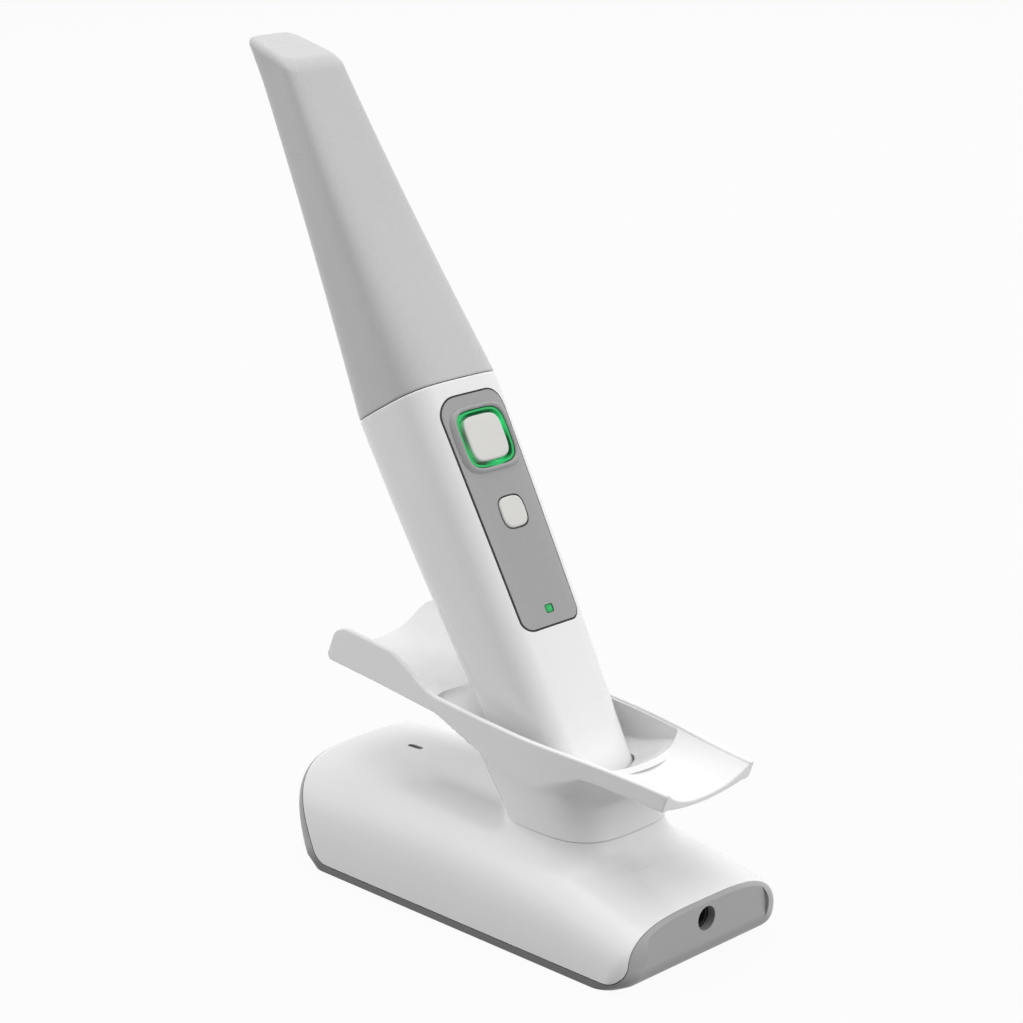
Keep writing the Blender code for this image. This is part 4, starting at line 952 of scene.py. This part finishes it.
def neck_rings(inset=0.0, count=22):
    """The neck below the bowl, then the bowl's outside a wall away from its inside."""
    foot = NECK_HALF_LENGTH - inset
    rows = [(NECK_CENTRE - foot, NECK_FOOT, NECK_CENTRE + foot, NECK_FOOT, NECK_HALF_WIDTH - inset,
             NECK_POWER)]
    for left, left_height, right, right_height, half_width, power in NECK_ROWS:
        rows.append((left + inset, left_height, right - inset, right_height, half_width - inset, power))
    outside = bowl_limit() + BOWL_SIDE_WALL - inset
    grow = TRAY_THICK / math.sqrt(2) - inset
    for row, (longer, power) in zip(BOWL_RINGS[2:], BOWL_OUTSIDE):
        left, left_height, right, right_height, half_width = row
        rows.append((left - grow, left_height - grow, right + grow + longer, right_height - grow,
                     max(half_width + grow, outside), power))
    rings = [tilted_ring(row[:5], outside, row[5]) for row in through_rows(rows, count)]
    left, _, right, _, half_width = BOWL_RINGS[-2]
    side_top = WALL_MID * NECK_SIDE_SHARE
    row = (left, tray_floor(left) + side_top, right, tray_floor(right) + side_top, half_width)
    rings.append(tilted_ring(row, outside))
    return rings


def rings_between(first, last, steps):
    """The rings that lie evenly between two others."""
    return [[a.lerp(b, step / steps) for a, b in zip(first, last)] for step in range(1, steps)]


def make_tray():
    """The tray, its bowl, the neck and the cup, all one moulding."""
    rings = [trough_ring(TRAY_LEFT, END_EDGE * (1 - sine), left_end, END_EDGE * (1 - cosine))
             for sine, cosine in quarter(4)[:-1]]
    first = trough_ring(TRAY_LEFT, 0, left_end, END_EDGE)
    rings.append(first)
    rings += rings_between(first, trough_ring(TRAY_LOFT_LEFT), 6)
    rings += [trough_ring(x) for x in evenly(TRAY_LOFT_LEFT, TRAY_LOFT_RIGHT, 46)]
    last = trough_ring(TRAY_RIGHT, 0, right_end, -END_EDGE)
    rings += rings_between(trough_ring(TRAY_LOFT_RIGHT), last, 3)
    for sine, cosine in quarter(4)[::-1]:
        rings.append(trough_ring(TRAY_RIGHT, END_EDGE * (1 - sine), right_end, -END_EDGE * (1 - cosine)))
    tray = loft("cradle_moulding", rings)

    neck = loft("neck", neck_rings())
    cup = handle_solid("cup", HANDLE_BOTTOM - GAP - CUP_WALL, HANDLE_BOTTOM + HEEL_LENGTH / 2,
                       CUP_CLEARANCE + CUP_WALL, steps=10)
    below = -COLLAR_LEDGE - GAP
    zone = loft("cup_zone", [neck_ring(BASE_HEIGHT / 2, below, below),
                             neck_ring(NECK_FOOT - GAP, below, below), *neck_rings(CUP_INSET)])
    cut(cup, zone, operation="INTERSECT")
    cut(tray, neck, cup, operation="UNION")

    rim = BOWL_RINGS[-1]
    above = (rim[0] - BEYOND / 4, rim[1] + BEYOND, rim[2] + BEYOND / 4, rim[3] + BEYOND, rim[4])
    rows = through_rows([*BOWL_RINGS, above], 32)
    bowl = loft("bowl", [tilted_ring(row, bowl_limit()) for row in rows])
    hole = handle_solid("cup_hollow", HANDLE_BOTTOM - GAP, HANDLE_BOTTOM + HANDLE_LENGTH / 2, CUP_CLEARANCE)
    socket = box("block_hole", (BLOCK_DEPTH + 2 * GAP, BLOCK_WIDTH + 2 * GAP, SOCKET_DEPTH),
                 (CONTACT_CENTRE, 0, HANDLE_BOTTOM), HANDPIECE)
    cut(tray, bowl, hole, socket)
    finish_piece(tray, WHITE, "cradle_tray", 40)


# Base

def base_top(x):
    share = x / BASE_SPAN
    return BASE_HEIGHT - BASE_FALL * share - BASE_CROWN * share * share


def base_end(height, end, lean):
    """How far the end face reaches at a height: it leans out and rolls under at the bottom."""
    slope = math.atan(lean)
    touch = BASE_HEEL_ROUND * math.tan((math.pi / 2 - slope) / 2) * math.cos(slope)
    if height >= touch:
        return end + lean * height
    centre = end + lean * BASE_HEEL_ROUND - BASE_HEEL_ROUND * math.hypot(1, lean)
    return centre + math.sqrt(BASE_HEEL_ROUND ** 2 - (max(height, 0) - BASE_HEEL_ROUND) ** 2)


ARCH = oval(BASE_HALF_WIDTH, BASE_HEIGHT, BASE_POWER, 0, HALF_AROUND + 1, math.pi)


def base_ring(place, inset, floor):
    """One arch of the base: place gives x for a height on the arch."""
    top = base_top(place(BASE_HEIGHT)) - inset
    points = []
    for across, up in ARCH:
        z = floor + (top - floor) * max(up, 0) / BASE_HEIGHT
        y = (BASE_HALF_WIDTH - inset) * across / BASE_HALF_WIDTH
        points.append((place(z), y * (1 - BASE_SIDE_LEAN * z / top), z))
    return points


def base_solid(name, inset, floor, left, right):
    """The base's arch from end to end; left and right give each end's reach, lean and edge radius."""
    groups = []
    for way, (end, lean, edge) in ((-1, left), (1, right)):
        group = []
        for sine, cosine in quarter(9):
            back = edge * (1 - sine)
            narrow = inset + edge * (1 - cosine)
            group.append((lambda z, w=way, e=end, k=lean, b=back: w * (base_end(z, e, k) - b), narrow))
        groups.append(group)
    middle = [(lambda z, x=x: x, inset) for x in evenly(-BASE_STRAIGHT, BASE_STRAIGHT, 33)]
    rings = [base_ring(place, narrow, floor) for place, narrow in groups[0][::-1] + middle + groups[1]]
    flat = [[(x, 0, z) for x, _, z in ring] for ring in (rings[0], rings[-1])]
    return loft(name, [flat[0], *rings, flat[1]])


def cover_outline(grow):
    """The cover's side view: a level lower edge, a slanted left one and an upright right one."""
    low = STRIP_HEIGHT - grow
    high = BASE_HEIGHT + COVER_ABOVE
    slant = (COVER_LEFT_HIGH - COVER_LEFT_LOW) / (BASE_HEIGHT - STRIP_HEIGHT)
    corner = COVER_CORNER + grow
    return rounded_outline([
        (COVER_LEFT_LOW - grow, low, corner),
        (COVER_RIGHT + grow, low, corner),
        (COVER_RIGHT + grow, high, 0),
        (COVER_LEFT_LOW - grow + slant * (high - low), high, 0),
    ])


def base_slot(name, grow):
    top = base_top(SLOT_PLACE)
    outline = oval(SLOT_LENGTH / 2 + grow, SLOT_WIDTH / 2 + grow, SLOT_POWER, 0, 48)
    return plate(name, outline, 2 * BEYOND, facing("z", (SLOT_PLACE, 0, top)))


def surface_height(x, y):
    """The height of the base's top over a point."""
    top = base_top(x)
    z = top
    for _ in range(8):
        across = min(abs(y) / (BASE_HALF_WIDTH * (1 - BASE_SIDE_LEAN * z / top)), 1)
        z = BASE_FOOT + (top - BASE_FOOT) * (1 - across ** BASE_POWER) ** (1 / BASE_POWER)
    return z


def collar_ring(share, sink=0.0):
    """The collar's flare a share of the way from the neck out to where it meets the base's top."""
    reach = COLLAR_REACH * share
    swell = 1 - math.sqrt(max(1 - (1 - share) ** 2, 0))
    points = []
    for x, y, _ in neck_ring(0, reach, reach * COLLAR_SIDE_SHARE, blend(NECK_POWER, COLLAR_POWER, share)):
        ground = surface_height(x, y)
        points.append((x, y, ground + (COLLAR_TOP - ground) * swell - sink))
    return points


def make_base():
    lean = (BASE_END, BASE_END_LEAN, BASE_END_ROUND)
    side = facing("y", (0, 0, 0))
    wide = 4 * BASE_HALF_WIDTH
    cover = base_solid("base_cover_moulding", 0, BASE_FOOT, lean, lean)
    inner_left = (BASE_END - BASE_WALL, BASE_END_LEAN, BASE_END_ROUND - BASE_WALL)
    open_right = (BASE_END + 4 * BEYOND, 0, BASE_WALL)
    cut(cover, plate("cover_zone", cover_outline(0), wide, side), operation="INTERSECT")
    throat = loft("throat", [neck_ring(height, -COLLAR_LEDGE, -COLLAR_LEDGE)
                             for height in (BASE_HEIGHT / 2, COLLAR_TOP + BEYOND)])
    cut(cover, base_solid("cover_room", BASE_WALL, -BEYOND, inner_left, open_right), throat,
        base_slot("status_slot", GAP))
    finish_piece(cover, WHITE, "base_cover")

    flare = [collar_ring(share * share) for share in evenly(1, 0.04, 24)]
    top = [neck_ring(COLLAR_TOP - COLLAR_EDGE), neck_ring(COLLAR_TOP, -COLLAR_EDGE, -COLLAR_EDGE)]
    inner = [neck_ring(height, -COLLAR_LEDGE, -COLLAR_LEDGE)
             for height in (COLLAR_TOP, COLLAR_TOP - 2 * BEYOND)]
    under = [collar_ring(COLLAR_FOOT_SHARE, BASE_WALL / 2)]
    collar = loft("base_collar", flare + top + inner + under, ends="joined")
    finish_piece(collar, WHITE, "base_cover")

    frame_piece = base_solid("base_frame_moulding", 0, BASE_FOOT, lean, lean)
    well = base_solid("frame_room", BASE_WALL, BASE_WALL, inner_left, (BULKHEAD, 0, BASE_WALL / 2))
    core_left = (BASE_END - BASE_WALL - GAP, BASE_END_LEAN, BASE_END_ROUND - BASE_WALL)
    shell_zone = plate("shell_zone", cover_outline(GAP), wide, side)
    cut(shell_zone, base_solid("cover_core", BASE_WALL + GAP, -BEYOND, core_left, open_right))
    recess_low = BASE_FOOT + STRIP_HEIGHT
    recess = plate("end_recess", rounded_outline([
        (-RECESS_HALF, recess_low, RECESS_CORNER),
        (RECESS_HALF, recess_low, RECESS_CORNER),
        (RECESS_HALF, RECESS_TOP, RECESS_ROUND),
        (-RECESS_HALF, RECESS_TOP, RECESS_ROUND),
    ]), FAR, facing("x", (RECESS_FLOOR + FAR / 2, 0, 0)))
    jack_hole = plate("jack_hole", oval(JACK_HOLE, JACK_HOLE, 2, 0, 64), 8 * BEYOND,
                      facing("x", (RECESS_FLOOR, 0, JACK_HEIGHT)))
    across, long, corner = PAD_WIDTH / 2 + GAP, PAD_LENGTH / 2 + GAP, PAD_ROUND + GAP
    pad_seat = plate("pad_seat", rounded_outline([(-long, -across, corner), (long, -across, corner),
                                                  (long, across, corner), (-long, across, corner)]),
                     2 * (PAD_THICK + GAP), facing("z", (0, 0, 0)))
    cut(frame_piece, well, shell_zone, recess, jack_hole, pad_seat)
    finish_piece(frame_piece, RIM, "base_frame")


make_handle()
make_panel()
make_gasket("panel_seal", (panel_outline(SEAL_WIDTH), panel_outline(SEAL_FIT)), -SEAL_SINK)
make_gasket("mode_seal", (squircle(MODE_LENGTH, MODE_WIDTH, MODE_POWER, MODE_SEAL - SEAL_FIT),
                          squircle(MODE_LENGTH, MODE_WIDTH, MODE_POWER, GAP / 4)), -SEAL_SINK, MODE_PLACE)
make_ring_light()
make_key("scan_button", CAP_LENGTH, CAP_WIDTH, RING_POWER, CAP_PROUD, 0)
make_key("mode_button", MODE_LENGTH, MODE_WIDTH, MODE_POWER, MODE_PROUD, MODE_PLACE)
make_status_window()
make_sleeve()
make_tray()
make_base()


# Floor, light and camera

def seen_ray(tree):
    """One for a ray that shows the background itself: from the camera, a mirror or through glass."""
    rays = tree.nodes.new("ShaderNodeLightPath")
    seen = rays.outputs["Is Camera Ray"]
    for kind in ("Is Glossy Ray", "Is Transmission Ray"):
        seen = calculate(tree, "MAXIMUM", seen, rays.outputs[kind])
    return seen


def stage_floor():
    bpy.ops.object.select_all(action="DESELECT")
    bpy.ops.mesh.primitive_circle_add(vertices=96, radius=FLOOR_RADIUS, fill_type="NGON", location=(0, 0, 0))
    floor = bpy.context.object
    floor.name = "studio_floor"
    made, tree, shader, _ = new_finish("studio_floor_white", 0.7)
    shader.inputs["Base Color"].default_value = (FLOOR_GREY, FLOOR_GREY, FLOOR_GREY, 1)
    shader.inputs["Specular IOR Level"].default_value = 0.1
    share = calculate(tree, "MULTIPLY", seen_ray(tree), FLOOR_WHITE_SHARE)
    glow = tree.nodes.new("ShaderNodeEmission")
    glow.inputs["Strength"].default_value = 1.0
    mix = tree.nodes.new("ShaderNodeMixShader")
    tree.links.new(share, mix.inputs["Fac"])
    tree.links.new(shader.outputs["BSDF"], mix.inputs[1])
    tree.links.new(glow.outputs["Emission"], mix.inputs[2])
    tree.links.new(mix.outputs["Shader"], tree.nodes["Material Output"].inputs["Surface"])
    floor.data.materials.append(made)


def studio_world():
    world = bpy.data.worlds.new("studio")
    scene.world = world
    world.use_nodes = True
    tree = world.node_tree
    background = tree.nodes["Background"]
    background.inputs["Color"].default_value = (WORLD_GREY, WORLD_GREY, WORLD_GREY, 1)
    white = tree.nodes.new("ShaderNodeBackground")
    white.inputs["Color"].default_value = (1, 1, 1, 1)
    mix = tree.nodes.new("ShaderNodeMixShader")
    tree.links.new(seen_ray(tree), mix.inputs["Fac"])
    tree.links.new(background.outputs["Background"], mix.inputs[1])
    tree.links.new(white.outputs["Background"], mix.inputs[2])
    tree.links.new(mix.outputs["Shader"], tree.nodes["World Output"].inputs["Surface"])


def softbox(name, place, size, watts):
    """A soft studio lamp aimed at the middle of the scanner, which doesn't show in glossy surfaces."""
    aim = AIM - Vector(place)
    bpy.ops.object.light_add(type="AREA", location=place, rotation=aim.to_track_quat("-Z", "Y").to_euler())
    lamp = bpy.context.object
    lamp.name = name
    lamp.data.shape = "RECTANGLE"
    lamp.data.size = size[0]
    lamp.data.size_y = size[1]
    lamp.data.energy = watts
    lamp.visible_glossy = False


stage_floor()
studio_world()
for name, (place, size, watts) in SOFTBOXES.items():
    softbox(name, place, size, watts)

bpy.ops.object.camera_add(location=CAMERA_PLACE,
                          rotation=(math.radians(CAMERA_PITCH), 0, math.radians(CAMERA_TURN)))
camera = bpy.context.object
camera.name = "photo_camera"
camera.data.lens = CAMERA_LENS
camera.data.sensor_width = SENSOR_WIDTH
camera.data.clip_start = 0.05
camera.data.clip_end = 40
scene.camera = camera
scene.view_settings.view_transform = "Standard"
